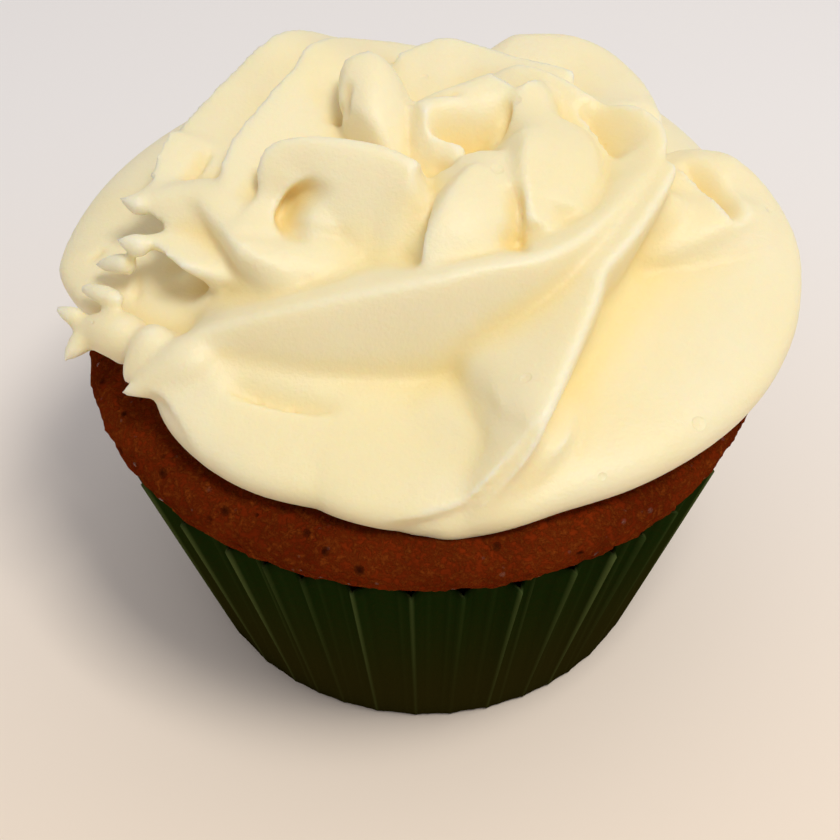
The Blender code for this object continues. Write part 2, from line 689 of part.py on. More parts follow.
def build_frosting(collection, helpers):
    frosting = build_swirl(collection)
    shreds = [build_shred(shred, number, helpers) for number, shred in enumerate(SHREDS)]
    seat = build_seat(helpers)
    make_even(frosting)

    torn = bpy.data.collections.new("torn bits")
    for shred in shreds:
        torn.objects.link(shred)
    fuse = frosting.modifiers.new("torn bits", "BOOLEAN")
    fuse.operation = "UNION"
    fuse.operand_type = "COLLECTION"
    fuse.collection = torn
    fuse.solver = "MANIFOLD"
    apply_modifiers(frosting)
    for shred in shreds:
        bpy.data.objects.remove(shred)
    bpy.data.collections.remove(torn)
    make_even(frosting)

    soften = frosting.modifiers.new("soften", "SMOOTH")
    soften.factor = SOFTEN_FACTOR
    soften.iterations = SOFTEN_ROUNDS
    apply_modifiers(frosting)

    triangles = sum(len(face.vertices) - 2 for face in frosting.data.polygons)
    thin = frosting.modifiers.new("thin out", "DECIMATE")
    thin.ratio = FROSTING_TRIANGLES / triangles
    apply_modifiers(frosting)

    cut = frosting.modifiers.new("underside", "BOOLEAN")
    cut.operation = "DIFFERENCE"
    cut.object = seat
    cut.solver = "MANIFOLD"
    apply_modifiers(frosting)
    bpy.data.objects.remove(seat)
    keep_largest(frosting)
    return frosting


def finish(target, material, sharp_angle):
    target.data.materials.clear()
    target.data.materials.append(material)
    target.data.shade_smooth()
    target.data.set_sharp_from_angle(angle=math.radians(sharp_angle))


def main():
    clear_scene()
    cupcake = make_collection("cupcake", hidden=False)
    helpers = make_collection("helpers", hidden=True)
    case = build_case(cupcake)
    cake = build_cake(cupcake)
    frosting = build_frosting(cupcake, helpers)
    finish(case, make_material("paper", PAPER_COLOUR, PAPER_ROUGHNESS), PAPER_EDGES)
    finish(cake, make_material("cake crumb", CAKE_COLOUR, CAKE_ROUGHNESS), CAKE_EDGES)
    frosting_cream = make_material("frosting cream", FROSTING_COLOUR, FROSTING_ROUGHNESS)
    finish(frosting, frosting_cream, FROSTING_EDGES)


main()
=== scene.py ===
"""Looks of a frosted cupcake: a piped cream swirl, a red-brown cake and a pleated green paper case.

Crests and profiles are given in millimetres, and each mesh is made in metres.
The cupcake stands on z = 0, centred on the origin, with its front towards -Y.
"""

import math
from collections import namedtuple

import bmesh
import bpy
import numpy as np
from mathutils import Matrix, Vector


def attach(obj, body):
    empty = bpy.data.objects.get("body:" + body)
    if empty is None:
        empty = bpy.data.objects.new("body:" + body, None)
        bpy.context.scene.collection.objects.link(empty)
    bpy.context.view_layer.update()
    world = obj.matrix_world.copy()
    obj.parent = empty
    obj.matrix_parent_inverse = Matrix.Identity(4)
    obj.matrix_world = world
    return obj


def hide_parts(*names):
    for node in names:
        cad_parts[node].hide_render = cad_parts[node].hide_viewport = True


bl_info = {
    "name": "Frosted Cupcake",
    "version": (1, 0, 0),
    "blender": (4, 5, 0),
    "location": "View3D > Sidebar > Cupcake",
    "description": "Builds a frosted cupcake in its paper case, with a plain stage",
    "category": "Add Mesh",
}

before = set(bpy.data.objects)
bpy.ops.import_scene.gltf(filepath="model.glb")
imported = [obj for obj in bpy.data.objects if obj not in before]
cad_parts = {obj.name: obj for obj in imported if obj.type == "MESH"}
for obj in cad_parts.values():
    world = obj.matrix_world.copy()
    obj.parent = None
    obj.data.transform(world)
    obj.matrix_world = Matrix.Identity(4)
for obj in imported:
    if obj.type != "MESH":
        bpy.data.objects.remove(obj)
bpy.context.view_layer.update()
MILLIMETRE = 0.001

# Paper case
CASE_HEIGHT = 33.0
CASE_BASE_RADIUS = 27.4
CASE_TOP_RADIUS = 34.9
CASE_PLEAT_STEPS = 16
CASE_LEVELS = 16
CASE_FOOT_INSET = 1.4
CASE_FOOT_RISE = 0.42
CASE_FOOT_STEP = 0.25
CASE_FOOT_DEPTH = 0.1
CASE_DEPTH_POWER = 0.9

# Pleats: how sharp a crease is, the lower crease between two, and how narrow the painted highlights along the
# creases are
CREASE_POWER = 3.2
LOW_CREASE_POWER = 4
LOW_CREASE_FADE = 0.5
LOW_CREASE_SHARE = 0.4
CREASE_MIDDLE = 0.5
CREASE_HIGHLIGHT_POWER = 14
LOW_CREASE_HIGHLIGHT_POWER = 5
LOW_CREASE_HIGHLIGHT_SHARE = 0.7

# Waves round the cupcake: how many there are, how far they are turned, and their share
PLEAT_WANDER = ((7, 1.0, 0.16), (11, 4.0, 0.12))
PLEAT_UNEVENNESS = ((5, 2.0, 0.22), (13, 0.0, 0.15))
LOW_CREASE_WANDER = ((17, 0.0, 0.2),)
LIP_WAVES = ((2, 0.6, 0.6), (5, 2.0, 0.4))

# Cake
FIT_GAP = 0.3
CAKE_LIP_RADIUS = 36.4
CAKE_LIP_HEIGHT = 36.8
CAKE_LIP_UNDERSIDE = 33.4
CAKE_SHOULDER_RADIUS = 33.0
CAKE_SHOULDER_HEIGHT = 39.8
CAKE_CROWN_HEIGHT = 43.0
CAKE_CROWN_POWER = 2.2
CROWN_STEP_POWER = 0.6
CROWN_STEPS = 26
LIP_STEPS = 14
CAKE_TOP_INSET = 1.5
CAKE_BASE_INSET = 1.9
CAKE_NECK_INSET = 1.2
CAKE_NECK_DROP = 1.5
CAKE_STEPS = 460
CAKE_UNEVENNESS = 0.25
LUMP_SIZE = 0.0022
LUMP_STRENGTH = 1.4
GRAIN_SIZE = 0.0007

# Corners of the cake's foot: how far in from its side and how far above the gap
CAKE_FOOT = ((0.6, 1.1), (1.5, 0.4))

# Cutter for the frosting's underside
SEAT_GAP = 0.12
SEAT_BOTTOM = 20.0
SEAT_STEPS = 180

# Frosting dome: each size is given at the right, back, left and front of the cupcake
SEAT_HEIGHT = 43.0
DOME_EQUATOR = (44.5, 45.5, 45.0, 42.6)
DOME_OUTER_RADIUS = (36.4, 37.0, 35.6, 32.2)
DOME_OUTER_CROWN = (50.0, 51.5, 49.5, 46.8)
DOME_INNER_RADIUS = (20.0, 25.0, 28.0, 18.0)
DOME_INNER_CROWN = (53.5, 53.5, 53.5, 53.5)
DOME_FOOT_HEIGHT = 37.6
DOME_OUTER_POWER = 2.3
DOME_INNER_POWER = 2.4
DOME_UNDER_POWER = 3.0
FARTHEST = 60.0
DOME_BLEND = 0.9
DOME_BLEND_SHARE = 0.35

# Rays of the dome, and the size of its finished faces
RAYS_ROUND = 520
RAYS_DOWN = 230
REMESH_SIZE = 0.4
SOFTEN_FACTOR = 0.5
SOFTEN_ROUNDS = 2
SHRED_STEPS = 24

# How the crests and folds are told apart, for the painted highlight on the crests and the painted shade in
# the folds
NEAR_ROUNDS = 14
FAR_ROUNDS = 110
CREST_HEIGHT = 0.4
CREST_START = 0.25
CREST_MOST = 0.8
FOLD_DEPTH = 0.7
MARKED_BELOW_SEAT = 3.5

# How ridges that cross are blended
RIDGE_BLEND = 1.76
RIDGE_BLEND_SHARE = 0.3
RIDGE_SAMPLES = 90
LEAN_POWER = 1.3
LEAN_FULL_HEIGHT = 3.0
LEAN_MOST = 1.2
LEAN_FADE = 0.06
LOBE_POWER = 1.3
FADE_POWER = 0.6
TINY = 1e-6

# Hollows under the folds, each pressed in along a crisp edge: where the edge starts and ends, as azimuth,
# radius and height, then how far it bows into the hollow at its middle, the hollow's width and depth, how
# far it goes under the edge, and how much painted golden shade it gets. Seen from outside, it lies left of
# its edge.
# Most of the places were read off the photo by a program, through a fitted camera.
Hollow = namedtuple("Hollow", "start end bow width depth under gold")
HOLLOWS = {
    "under the left petal": Hollow((-167, 11, 58.4), (-150, 16.4, 55.4), -2.2, 4, 3.8, 1.8, 1),
    "left of the peak": Hollow((92, 5.4, 58.6), (24, 10.4, 58.5), -1.4, 4.6, 2.4, 0.6, 1),
    "foot of the peak": Hollow((31, 8.8, 57.8), (45, 12.8, 59.9), -0.3, 2.2, 1.4, 0.4, 0.7),
    "beside the small curl": Hollow((92, 2.4, 56.5), (-5, 3.2, 58.5), -0.4, 1.6, 1.3, 0.3, 0.8),
    "behind the right lobe": Hollow((33, 18.6, 58.4), (5, 20, 57.1), 0.6, 4.6, 3, 1.2, 0.8),
    "beside the rear rim": Hollow((15, 27.4, 53.4), (-5, 32.2, 52.7), 0.5, 2.6, 3.2, 1.2, 1),
    "left of the right lobe": Hollow((-53, 16.5, 57.4), (-26, 10.2, 59.6), -0.2, 2.4, 1.7, 0.6, 0.8),
    "behind the peak": Hollow((107, 9.5, 60.6), (63, 10.3, 60.2), -0.4, 1.6, 1.1, 0.3, 0.6),
    "beside the left strip": Hollow((177, 24.4, 55), (161, 23.6, 54.4), 0, 1.8, 1.6, 0.5, 0.8),
    "foot of the tall curl": Hollow((141, 14.7, 57.1), (138, 11.3, 59.5), 0, 1.3, 1.6, 0.5, 0.9),
    "left of the tall curl": Hollow((140, 10.2, 59.1), (128, 12.3, 61.9), 0, 1.6, 1, 0.4, 0.6),
    "under the torn tail": Hollow((-171, 29.9, 47.9), (-165, 31.1, 46.3), 0, 1.2, 0.8, 0.3, 0.6),
    "under the front lip": Hollow((-134, 29, 47.1), (-108, 24.5, 46), -0.5, 3, 1.3, 0.6, 0.5),
    "upper slit": Hollow((-175, 35.1, 47.4), (-178, 33.2, 48), 0, 0.8, 1, 0.2, 0.8),
    "lower slit": Hollow((-169, 35.4, 45.9), (-170, 33.6, 47), 0, 0.8, 1, 0.2, 0.8),
    "right of the left petal": Hollow((-94, 13.3, 55.8), (-79, 4.7, 57.7), -0.6, 4.5, 1.2, 0.4, 0.7),
    "right of the front fold": Hollow((-46, 23.4, 51), (-70, 31.6, 50.6), 0, 3.2, 1, 0.4, 0.5),
    "foot of the front fold": Hollow((-66, 29.4, 49), (-106, 33.8, 41.6), 4.4, 5, 1.5, 0.5, 0.2),
}
HOLLOW_EDGE = 0.5
HOLLOW_REACH = 3.5
HOLLOW_PATCH = 2.5
# Width of the soft edge of the painted shade along each hollow
PAINTED_SHADE_EDGE = 1.6

# A ridge is a crest piped over the dome. Its stations give azimuth in degrees, radius and height.
# Left and right of its travel, seen from above, a flank has a width and a shape: a round lobe,
# or a hollow whose depth is the number. Lean tips the crest to the left, or to the right if negative.
# Many stations were read off the photo by a program, through a fitted camera.
Ridge = namedtuple("Ridge", "azimuths radii heights left right lean lip fades")
LOBE = 0

RIDGES = {
    "front lip": Ridge(
        (85, 58, 40, 28, 19, 11, 2, -8, -31, -50, -72, -92, -117, -133, -143, -146),
        (18.2, 18.9, 20.0, 22.2, 24.4, 25.2, 24.0, 21.6, 19.0, 17.6, 15.8, 16.0, 18.4, 22.8, 28.0, 35.2),
        (58.4, 59.5, 59.7, 59.7, 59.3, 58.8, 58.2, 57.8, 57.5, 57.5, 57.2, 56.3, 54.6, 52.6, 49.8, 45.8),
        (11, 1.5), (4.5, 1.5), -1, 0.5, (0.08, 0.01),
    ),
    "front fold": Ridge(
        (17, 8, -3, -24, -38, -46, -63, -70, -75, -81, -88, -94),
        (26.4, 26.2, 25.0, 22.6, 22.0, 23.4, 28.2, 31.5, 33.4, 34.3, 34.3, 33.5),
        (58.4, 58.4, 58.0, 57.0, 56.0, 55.0, 52.6, 51.2, 49.0, 46.4, 43.8, 42.0),
        (8, 1.5), (3.5, 1.4), -1.2, 0.5, (0.1, 0.05),
    ),
    "left petal": Ridge(
        (-150, -158, -167, -180, -168, -70),
        (20.4, 21.2, 20.6, 15.4, 5.6, 4.9),
        (55.2, 57.1, 59.0, 61.1, 61.4, 60.0),
        (4.5, 1.5), (10, 1.9), 1.2, 0.5, (0.05, 0.1),
    ),
    "middle fold": Ridge(
        (-8, -66, -84, -93),
        (5.5, 7.0, 10.0, 13.4),
        (60.0, 60.0, 58.6, 55.8),
        (11, LOBE), (3.2, 1.3), -0.6, 0.4, (0.1, 0.05),
    ),
    "rear of the peak": Ridge(
        (115, 65, 48),
        (6.0, 9.4, 15.8),
        (60.4, 61.2, 62.0),
        (6, LOBE), (5.5, 1.6), 0.3, 0.4, (0.2, 0.02),
    ),
    "front of the peak": Ridge(
        (48, 19, -22, -42),
        (15.8, 11.3, 10.6, 14.4),
        (62.0, 61.4, 60.2, 57.2),
        (10.5, LOBE), (3.6, 1.5), -0.7, 0.4, (0.02, 0.05),
    ),
    "right lobe": Ridge(
        (38, 5, -20, -34),
        (17.5, 15.5, 15.0, 15.0),
        (59.3, 59.3, 58.2, 57.0),
        (6, LOBE), (5.5, LOBE), 0, 1, (0.2, 0.15),
    ),
    "rear right crest": Ridge(
        (104, 92, 84, 74, 60, 48, 36),
        (21.9, 23.8, 24.8, 23.9, 22.9, 23.7, 24.6),
        (56.2, 56.9, 57.5, 57.3, 57.7, 57.9, 57.8),
        (5, 1.3), (4, 1.4), 0.3, 0.4, (0.1, 0.15),
    ),
    "rear rim": Ridge(
        (84, 64, 55, 45, 34, 24),
        (29.2, 32.4, 34.2, 32.6, 29.4, 27.0),
        (54.2, 54.8, 54.2, 53.8, 54.2, 55.4),
        (7, LOBE), (6, 1.2), 0, 1, (0.2, 0.15),
    ),
    "front right lobe": Ridge(
        (18, 12, 8, 6, 4, -2, -12, -22, -37, -60, -76, -92),
        (26.6, 28.4, 31.0, 33.8, 36.0, 37.2, 36.8, 35.8, 34.0, 33.4, 34.4, 34.8),
        (56.6, 56.2, 55.4, 54.0, 52.0, 49.8, 48.4, 47.6, 46.8, 44.8, 42.2, 40.4),
        (8, LOBE), (7, LOBE), 0, 1.2, (0.1, 0.05),
    ),
    "front left lobe": Ridge(
        (-129, -122, -110, -97, -84, -74, -67),
        (29.0, 30.8, 31.8, 32.0, 31.4, 30.4, 29.2),
        (43.0, 43.8, 44.2, 44.5, 45.4, 46.8, 48.4),
        (6.5, LOBE), (6.5, LOBE), 0, 1.5, (0.12, 0.1),
    ),
    "tall curl": Ridge(
        (117, 120, 130, 147),
        (16.1, 13.8, 11.1, 9.4),
        (62.4, 62.6, 61.6, 59.0),
        (3.3, LOBE), (3.3, LOBE), 0, 0.8, (0.04, 0.2),
    ),
    "left fold": Ridge(
        (-167, -191, -215, -237, -258, -285),
        (21.3, 20.8, 20.4, 23.2, 28.5, 36.5),
        (56.3, 57.2, 58.4, 59.8, 55.0, 47.5),
        (4.5, 1.4), (5.5, 1.1), 0.8, 0.4, (0.05, 0.1),
    ),
    "rear left fold": Ridge(
        (180, 165, 150, 138, 122, 108, 92),
        (27.5, 28.4, 29.0, 29.8, 31.4, 35.0, 38.0),
        (54.8, 54.6, 54.6, 55.2, 56.8, 52.0, 46.0),
        (5, 1.2), (5, 1.2), 0.5, 0.3, (0.1, 0.1),
    ),
    "left strip": Ridge(
        (-178, -190, -205),
        (28.5, 28.8, 29.5),
        (54.9, 55.2, 55.4),
        (3, 1.3), (3, 1.4), 0.5, 0.4, (0.1, 0.2),
    ),
    "left lobe": Ridge(
        (-166, -178, -198, -225),
        (36.6, 37.4, 35.6, 33.0),
        (46.5, 47.0, 47.5, 48.5),
        (7, LOBE), (8, LOBE), 0, 1, (0.2, 0.2),
    ),
    "upper tail": Ridge(
        (-178, -177, -175, -165, -152, -142, -128),
        (30.6, 27.2, 23.8, 21.7, 20.8, 20.0, 18.6),
        (54.4, 55.4, 56.2, 56.6, 56.4, 55.8, 55.0),
        (4, LOBE), (8, 1.4), -0.3, 0.5, (0.02, 0.3),
    ),
    "lower tail": Ridge(
        (-168, -166, -159, -150),
        (31.0, 28.4, 26.6, 24.6),
        (53.5, 53.9, 53.6, 52.6),
        (3, 1.4), (3.5, 1.4), -0.2, 0.4, (0.02, 0.3),
    ),
    "back outer fold": Ridge(
        (170, 150, 118),
        (29.0, 31.4, 37.5),
        (53.0, 51.6, 46.2),
        (9, 1.7), (6, 1.5), 0.8, 0.5, (0.3, 0.2),
    ),
    "peak lobe": Ridge(
        (30, -10, -40, -62),
        (9.6, 9.2, 10.0, 12.0),
        (59.4, 59.4, 58.4, 56.2),
        (6, LOBE), (6, LOBE), 0, 1, (0.2, 0.3),
    ),
    "small curl": Ridge(
        (100, 60, 25),
        (4.2, 5.0, 6.4),
        (58.8, 59.5, 58.8),
        (2.4, LOBE), (2.4, LOBE), 0, 0.6, (0.2, 0.2),
    ),
}

# Swells of the dome's foot: azimuth, half width in degrees and depth
Swell = namedtuple("Swell", "azimuth half_width depth")
SWELLS = (
    Swell(-120, 14, 1.0),
    Swell(-156, 12, -3.6),
    Swell(-82, 16, 0.8),
    Swell(-30, 15, 1.2),
    Swell(50, 18, 1.3),
)

# Pockets between the folds: azimuth, radius, height, width and depth
Pocket = namedtuple("Pocket", "azimuth radius height width depth")
POCKETS = (
    Pocket(-164, 15.2, 56.5, 2.0, 4.4),
    Pocket(-150, 15, 55, 1.3, 1.6),
    Pocket(38, 9.0, 58, 2.2, 4.2),
    Pocket(62, 2.4, 58, 1.1, 1.6),
    Pocket(30, 18.0, 57, 1.8, 1.6),
    Pocket(5, 30.4, 53, 1.7, 3.0),
    Pocket(-162, 30.4, 50, 1.3, 3.6),
    Pocket(131, 14.2, 57, 1.4, 2.2),
    Pocket(-48, 14.6, 57, 1.0, 1.4),
    Pocket(-170, 33.7, 50.5, 0.9, 1.4),
    Pocket(-165, 34.3, 48.5, 0.9, 1.4),
)

# Torn bits of the tail: where each starts and ends (azimuth, radius, height) and both its radii
Shred = namedtuple("Shred", "start end start_radius end_radius")
SHREDS = (
    Shred((-154, 31, 46.5), (-165, 37.4, 44.8), 3.2, 1.4),
    Shred((-162, 35.8, 45.2), (-159.5, 39.2, 43.6), 1.7, 0.45),
    Shred((-164, 36.0, 45.8), (-167.5, 39, 46.2), 1.4, 0.45),
    Shred((-156, 32, 45.4), (-158, 34.6, 44.4), 2.2, 1.4),
    Shred((-141, 25.5, 47.2), (-146.4, 35.6, 45.0), 4.6, 0.9),
    Shred((-152, 28.5, 47.5), (-149, 34.6, 44.8), 3.4, 1.4),
    Shred((-176, 28, 54), (-178.6, 31.3, 54.3), 1.6, 0.45),
    Shred((-166, 28.4, 52.8), (-168.4, 31.6, 53.6), 1.7, 0.45),
    Shred((-166, 30, 51.2), (-171, 34.2, 49.4), 1.5, 0.6),
    Shred((-161, 32, 48.8), (-169, 36.4, 48), 1.4, 0.6),
)


def placed_material(name):
    """A new material with its tree, its Principled BSDF and its Object coordinates."""
    material = bpy.data.materials.new(name)
    material.use_nodes = True
    tree = material.node_tree
    shader = tree.nodes["Principled BSDF"]
    coordinates = tree.nodes.new("ShaderNodeTexCoord")
    return material, tree, shader, coordinates.outputs["Object"]


def math_node(tree, operation, first, second=0.0, clamp=False):
    """A Math node's output; each input is a socket or a number."""
    node = tree.nodes.new("ShaderNodeMath")
    node.operation = operation
    node.use_clamp = clamp
    for socket, value in zip(node.inputs, (first, second)):
        if isinstance(value, (int, float)):
            socket.default_value = value
        else:
            tree.links.new(value, socket)
    return node.outputs["Value"]


def scaled(tree, value, factor):
    return math_node(tree, "MULTIPLY", value, factor)


def set_inputs(node, values):
    """Sets a node's own sockets by their names."""
    for name, value in values.items():
        node.inputs[name].default_value = value


def mixed_colour(tree, share, first, second):
    """A Mix node's colour; share is a socket or a number, and each colour a socket or a tuple."""
    node = tree.nodes.new("ShaderNodeMix")
    node.data_type = "RGBA"
    for socket, value in zip((node.inputs[0], node.inputs[6], node.inputs[7]), (share, first, second)):
        if isinstance(value, bpy.types.NodeSocket):
            tree.links.new(value, socket)
        elif isinstance(value, (int, float)):
            socket.default_value = value
        else:
            socket.default_value = (*value[:3], 1.0)
    return node.outputs[2]


def noise_mask(tree, vector, scale, low, high, detail=3.0, roughness=0.5):
    """Noise as a mask that runs from 0 to 1 between two of its values."""
    noise = tree.nodes.new("ShaderNodeTexNoise")
    set_inputs(noise, {"Scale": scale, "Detail": detail, "Roughness": roughness})
    tree.links.new(vector, noise.inputs["Vector"])
    return stretched(tree, noise.outputs["Fac"], low, high)


def stretched(tree, value, low, high):
    """A value mapped from low..high to 0..1."""
    node = tree.nodes.new("ShaderNodeMapRange")
    node.interpolation_type = "SMOOTHSTEP"
    set_inputs(node, {"From Min": low, "From Max": high})
    tree.links.new(value, node.inputs["Value"])
    return node.outputs["Result"]


def mesh_value(tree, name):
    """A value stored on the mesh's points."""
    node = tree.nodes.new("ShaderNodeAttribute")
    node.attribute_name = name
    return node.outputs["Fac"]


def add_bump(tree, shader, height, strength, distance):
    """Turns a height into the shader's normal."""
    node = tree.nodes.new("ShaderNodeBump")
    set_inputs(node, {"Strength": strength, "Distance": distance})
    tree.links.new(height, node.inputs["Height"])
    tree.links.new(node.outputs["Normal"], shader.inputs["Normal"])


def speckle_group():
    """Node group: small round spots, scattered thinly, as a mask. It makes pores, bubbles and glints."""
    name = "Scattered spots"
    if name in bpy.data.node_groups:
        return bpy.data.node_groups[name]
    group = bpy.data.node_groups.new(name, "ShaderNodeTree")
    group.interface.new_socket("Vector", in_out="INPUT", socket_type="NodeSocketVector")
    for value in ("Scale", "Radius", "Share"):
        group.interface.new_socket(value, in_out="INPUT", socket_type="NodeSocketFloat")
    group.interface.new_socket("Mask", in_out="OUTPUT", socket_type="NodeSocketFloat")
    inside = group.nodes.new("NodeGroupInput").outputs
    outside = group.nodes.new("NodeGroupOutput").inputs
    cells = group.nodes.new("ShaderNodeTexVoronoi")
    group.links.new(inside["Vector"], cells.inputs["Vector"])
    group.links.new(inside["Scale"], cells.inputs["Scale"])
    pick = group.nodes.new("ShaderNodeSeparateColor")
    group.links.new(cells.outputs["Color"], pick.inputs["Color"])
    chosen = math_node(group, "LESS_THAN", pick.outputs["Red"], inside["Share"])
    smallest = 0.35
    size = scaled(group, math_node(group, "ADD", pick.outputs["Green"], smallest), inside["Radius"])
    away = math_node(group, "DIVIDE", cells.outputs["Distance"], size)
    depth = math_node(group, "SUBTRACT", 1.0, away, clamp=True)
    rounded = math_node(group, "POWER", depth, 0.5)
    group.links.new(scaled(group, rounded, chosen), outside["Mask"])
    return group


def spots(tree, vector, scale, radius, share):
    node = tree.nodes.new("ShaderNodeGroup")
    node.node_tree = speckle_group()
    set_inputs(node, {"Scale": scale, "Radius": radius, "Share": share})
    tree.links.new(vector, node.inputs["Vector"])
    return node.outputs["Mask"]


def frosting_cream(settings):
    """Cream frosting: painted highlight on the crests, painted golden shade in the folds, fine bubbles, soft
    grain.
    """
    material, tree, shader, place = placed_material("frosting cream")
    crest = mesh_value(tree, "crest")
    fold = mesh_value(tree, "fold")
    patches = noise_mask(tree, place, scale=45.0, low=0.35, high=0.7)
    cream = mixed_colour(tree, patches, settings.colour, settings.warm_colour)
    # Painted shade: deeper yellow deep in the folds
    cream = mixed_colour(tree, fold, cream, settings.fold_shade_colour)
    # Painted highlight: paler cream along the crests
    cream = mixed_colour(tree, crest, cream, settings.crest_highlight_colour)
    tree.links.new(cream, shader.inputs["Base Color"])
    set_inputs(shader, {"Roughness": 0.42, "IOR": 1.46, "Specular IOR Level": 0.45})
    set_inputs(shader, {"Subsurface Weight": settings.softness, "Subsurface Radius": (1.0, 0.72, 0.36)})
    set_inputs(shader, {"Subsurface Scale": 0.0022})
    grain = noise_mask(tree, place, scale=2300.0, low=0.2, high=0.8, detail=4.0, roughness=0.6)
    ripples = noise_mask(tree, place, scale=260.0, low=0.2, high=0.8)
    bubbles = spots(tree, place, scale=420.0, radius=0.26, share=0.035)
    grain_height = 0.4
    ripple_height = 0.8
    bubble_depth = 2.4
    relief = math_node(tree, "ADD", scaled(tree, grain, grain_height), scaled(tree, ripples, ripple_height))
    relief = math_node(tree, "SUBTRACT", relief, scaled(tree, bubbles, bubble_depth))
    add_bump(tree, shader, relief, strength=0.55, distance=0.00013)
    return material


def cake_crumb(settings):
    """Red-brown crumb: orange-lit grains, painted shade in the pores and an oily glint."""
    material, tree, shader, place = placed_material("cake crumb")
    patches = noise_mask(tree, place, scale=140.0, low=0.3, high=0.7)
    grains = noise_mask(tree, place, scale=1250.0, low=0.42, high=0.72, detail=5.0, roughness=0.75)
    colour = mixed_colour(tree, patches, settings.dark_colour, settings.colour)
    grain_share = 0.7
    colour = mixed_colour(tree, scaled(tree, grains, grain_share), colour, settings.grain_colour)
    pores = spots(tree, place, scale=620.0, radius=0.3, share=0.2)
    # Painted shade inside the pores
    colour = mixed_colour(tree, pores, colour, settings.pore_shade_colour)
    tree.links.new(colour, shader.inputs["Base Color"])
    tree.links.new(stretched(tree, grains, low=-0.6, high=2.2), shader.inputs["Roughness"])
    glints = spots(tree, place, scale=1100.0, radius=0.3, share=0.1)
    glint_level = 0.6
    tree.links.new(scaled(tree, glints, glint_level), shader.inputs["Specular IOR Level"])
    set_inputs(shader, {"Subsurface Weight": 0.12, "Subsurface Radius": (1.0, 0.35, 0.15)})
    set_inputs(shader, {"Subsurface Scale": 0.0012})
    pore_depth = 1.6
    relief = math_node(tree, "SUBTRACT", grains, scaled(tree, pores, pore_depth))
    add_bump(tree, shader, relief, strength=1.0, distance=0.0004)
    return material


def green_paper(settings):
    """Greaseproof paper: black-green, brighter green near the rim and a painted highlight along each crease.
    """
    material, tree, shader, place = placed_material("green paper")
    crease = mesh_value(tree, "crease")
    split = tree.nodes.new("ShaderNodeSeparateXYZ")
    tree.links.new(place, split.inputs["Vector"])
    rise = stretched(tree, split.outputs["Z"], low=0.004, high=CASE_HEIGHT * MILLIMETRE)
    fibres = noise_mask(tree, place, scale=1500.0, low=0.35, high=0.7, detail=4.0, roughness=0.6)
    fibre_share = 0.3
    foot_highlight = 0.3
    rim_highlight = 0.6
    colour = mixed_colour(tree, rise, settings.foot_colour, settings.colour)
    colour = mixed_colour(tree, scaled(tree, fibres, fibre_share), colour, settings.foot_colour)
    # Painted highlight along the creases, stronger towards the rim
    highlight_share = math_node(tree, "ADD", scaled(tree, rise, rim_highlight), foot_highlight)
    colour = mixed_colour(tree, scaled(tree, crease, highlight_share), colour, settings.crease_highlight_colour)
    tree.links.new(colour, shader.inputs["Base Color"])
    set_inputs(shader, {"Roughness": 0.5, "Specular IOR Level": 0.0})
    add_bump(tree, shader, fibres, strength=0.25, distance=0.00008)
    return material


def shown(name, data):
    """A new object with its data, in the scene."""
    made = bpy.data.objects.new(name, data)
    bpy.context.scene.collection.objects.link(made)
    return made


def object_from_bmesh(mesh_builder, name):
    """Scales a bmesh from millimetres to metres and makes an object of it."""
    bmesh.ops.scale(mesh_builder, vec=(MILLIMETRE,) * 3, verts=mesh_builder.verts)
    bmesh.ops.recalc_face_normals(mesh_builder, faces=mesh_builder.faces)
    mesh = bpy.data.meshes.new(name)
    mesh_builder.to_mesh(mesh)
    mesh_builder.free()
    return shown(name, mesh)


def apply_modifiers(target):
    """Replaces an object's mesh by what its modifiers make of it."""
    bpy.context.view_layer.update()
    graph = bpy.context.evaluated_depsgraph_get()
    finished = bpy.data.meshes.new_from_object(target.evaluated_get(graph))
    target.modifiers.clear()
    target.data = finished


def dress(piece, material, node):
    """Gives a piece its material, and puts it in the place of its CAD node."""
    piece.data.materials.clear()
    piece.data.materials.append(material)
    piece.data.shade_smooth()
    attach(piece, "root")
    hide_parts(node)


def to_xyz(azimuth, radius, height):
    """Point from an azimuth in degrees, a radius and a height."""
    angle = math.radians(azimuth)
    return np.array((radius * math.cos(angle), radius * math.sin(angle), height))


def store_values(mesh, name, values):
    attribute = mesh.attributes.new(name, "FLOAT", "POINT")
    attribute.data.foreach_set("value", np.asarray(values, np.float32))


def vertex_vectors(mesh, name):
    """A vector of every vertex: co for its place or normal for the way it faces."""
    vectors = np.empty(len(mesh.vertices) * 3, np.float32)
    mesh.vertices.foreach_get(name, vectors)
    return vectors.reshape(-1, 3).astype(float)


def relaxed(points, edges, rounds):
    """Points moved towards the mean of their neighbours, a number of times."""
    count = len(points)
    both = np.concatenate([edges, edges[:, ::-1]])
    degree = np.maximum(np.bincount(both[:, 0], minlength=count), 1)[:, None]
    for _ in range(rounds):
        total = np.stack(
            [np.bincount(both[:, 0], points[both[:, 1], axis], minlength=count) for axis in range(3)], 1
        )
        points = (points + total / degree) / 2
    return points


def waves(angle, parts):
    """Sum of waves round the cupcake."""
    return sum(share * np.sin(count * angle + turn) for count, turn, share in parts)


# Paper case


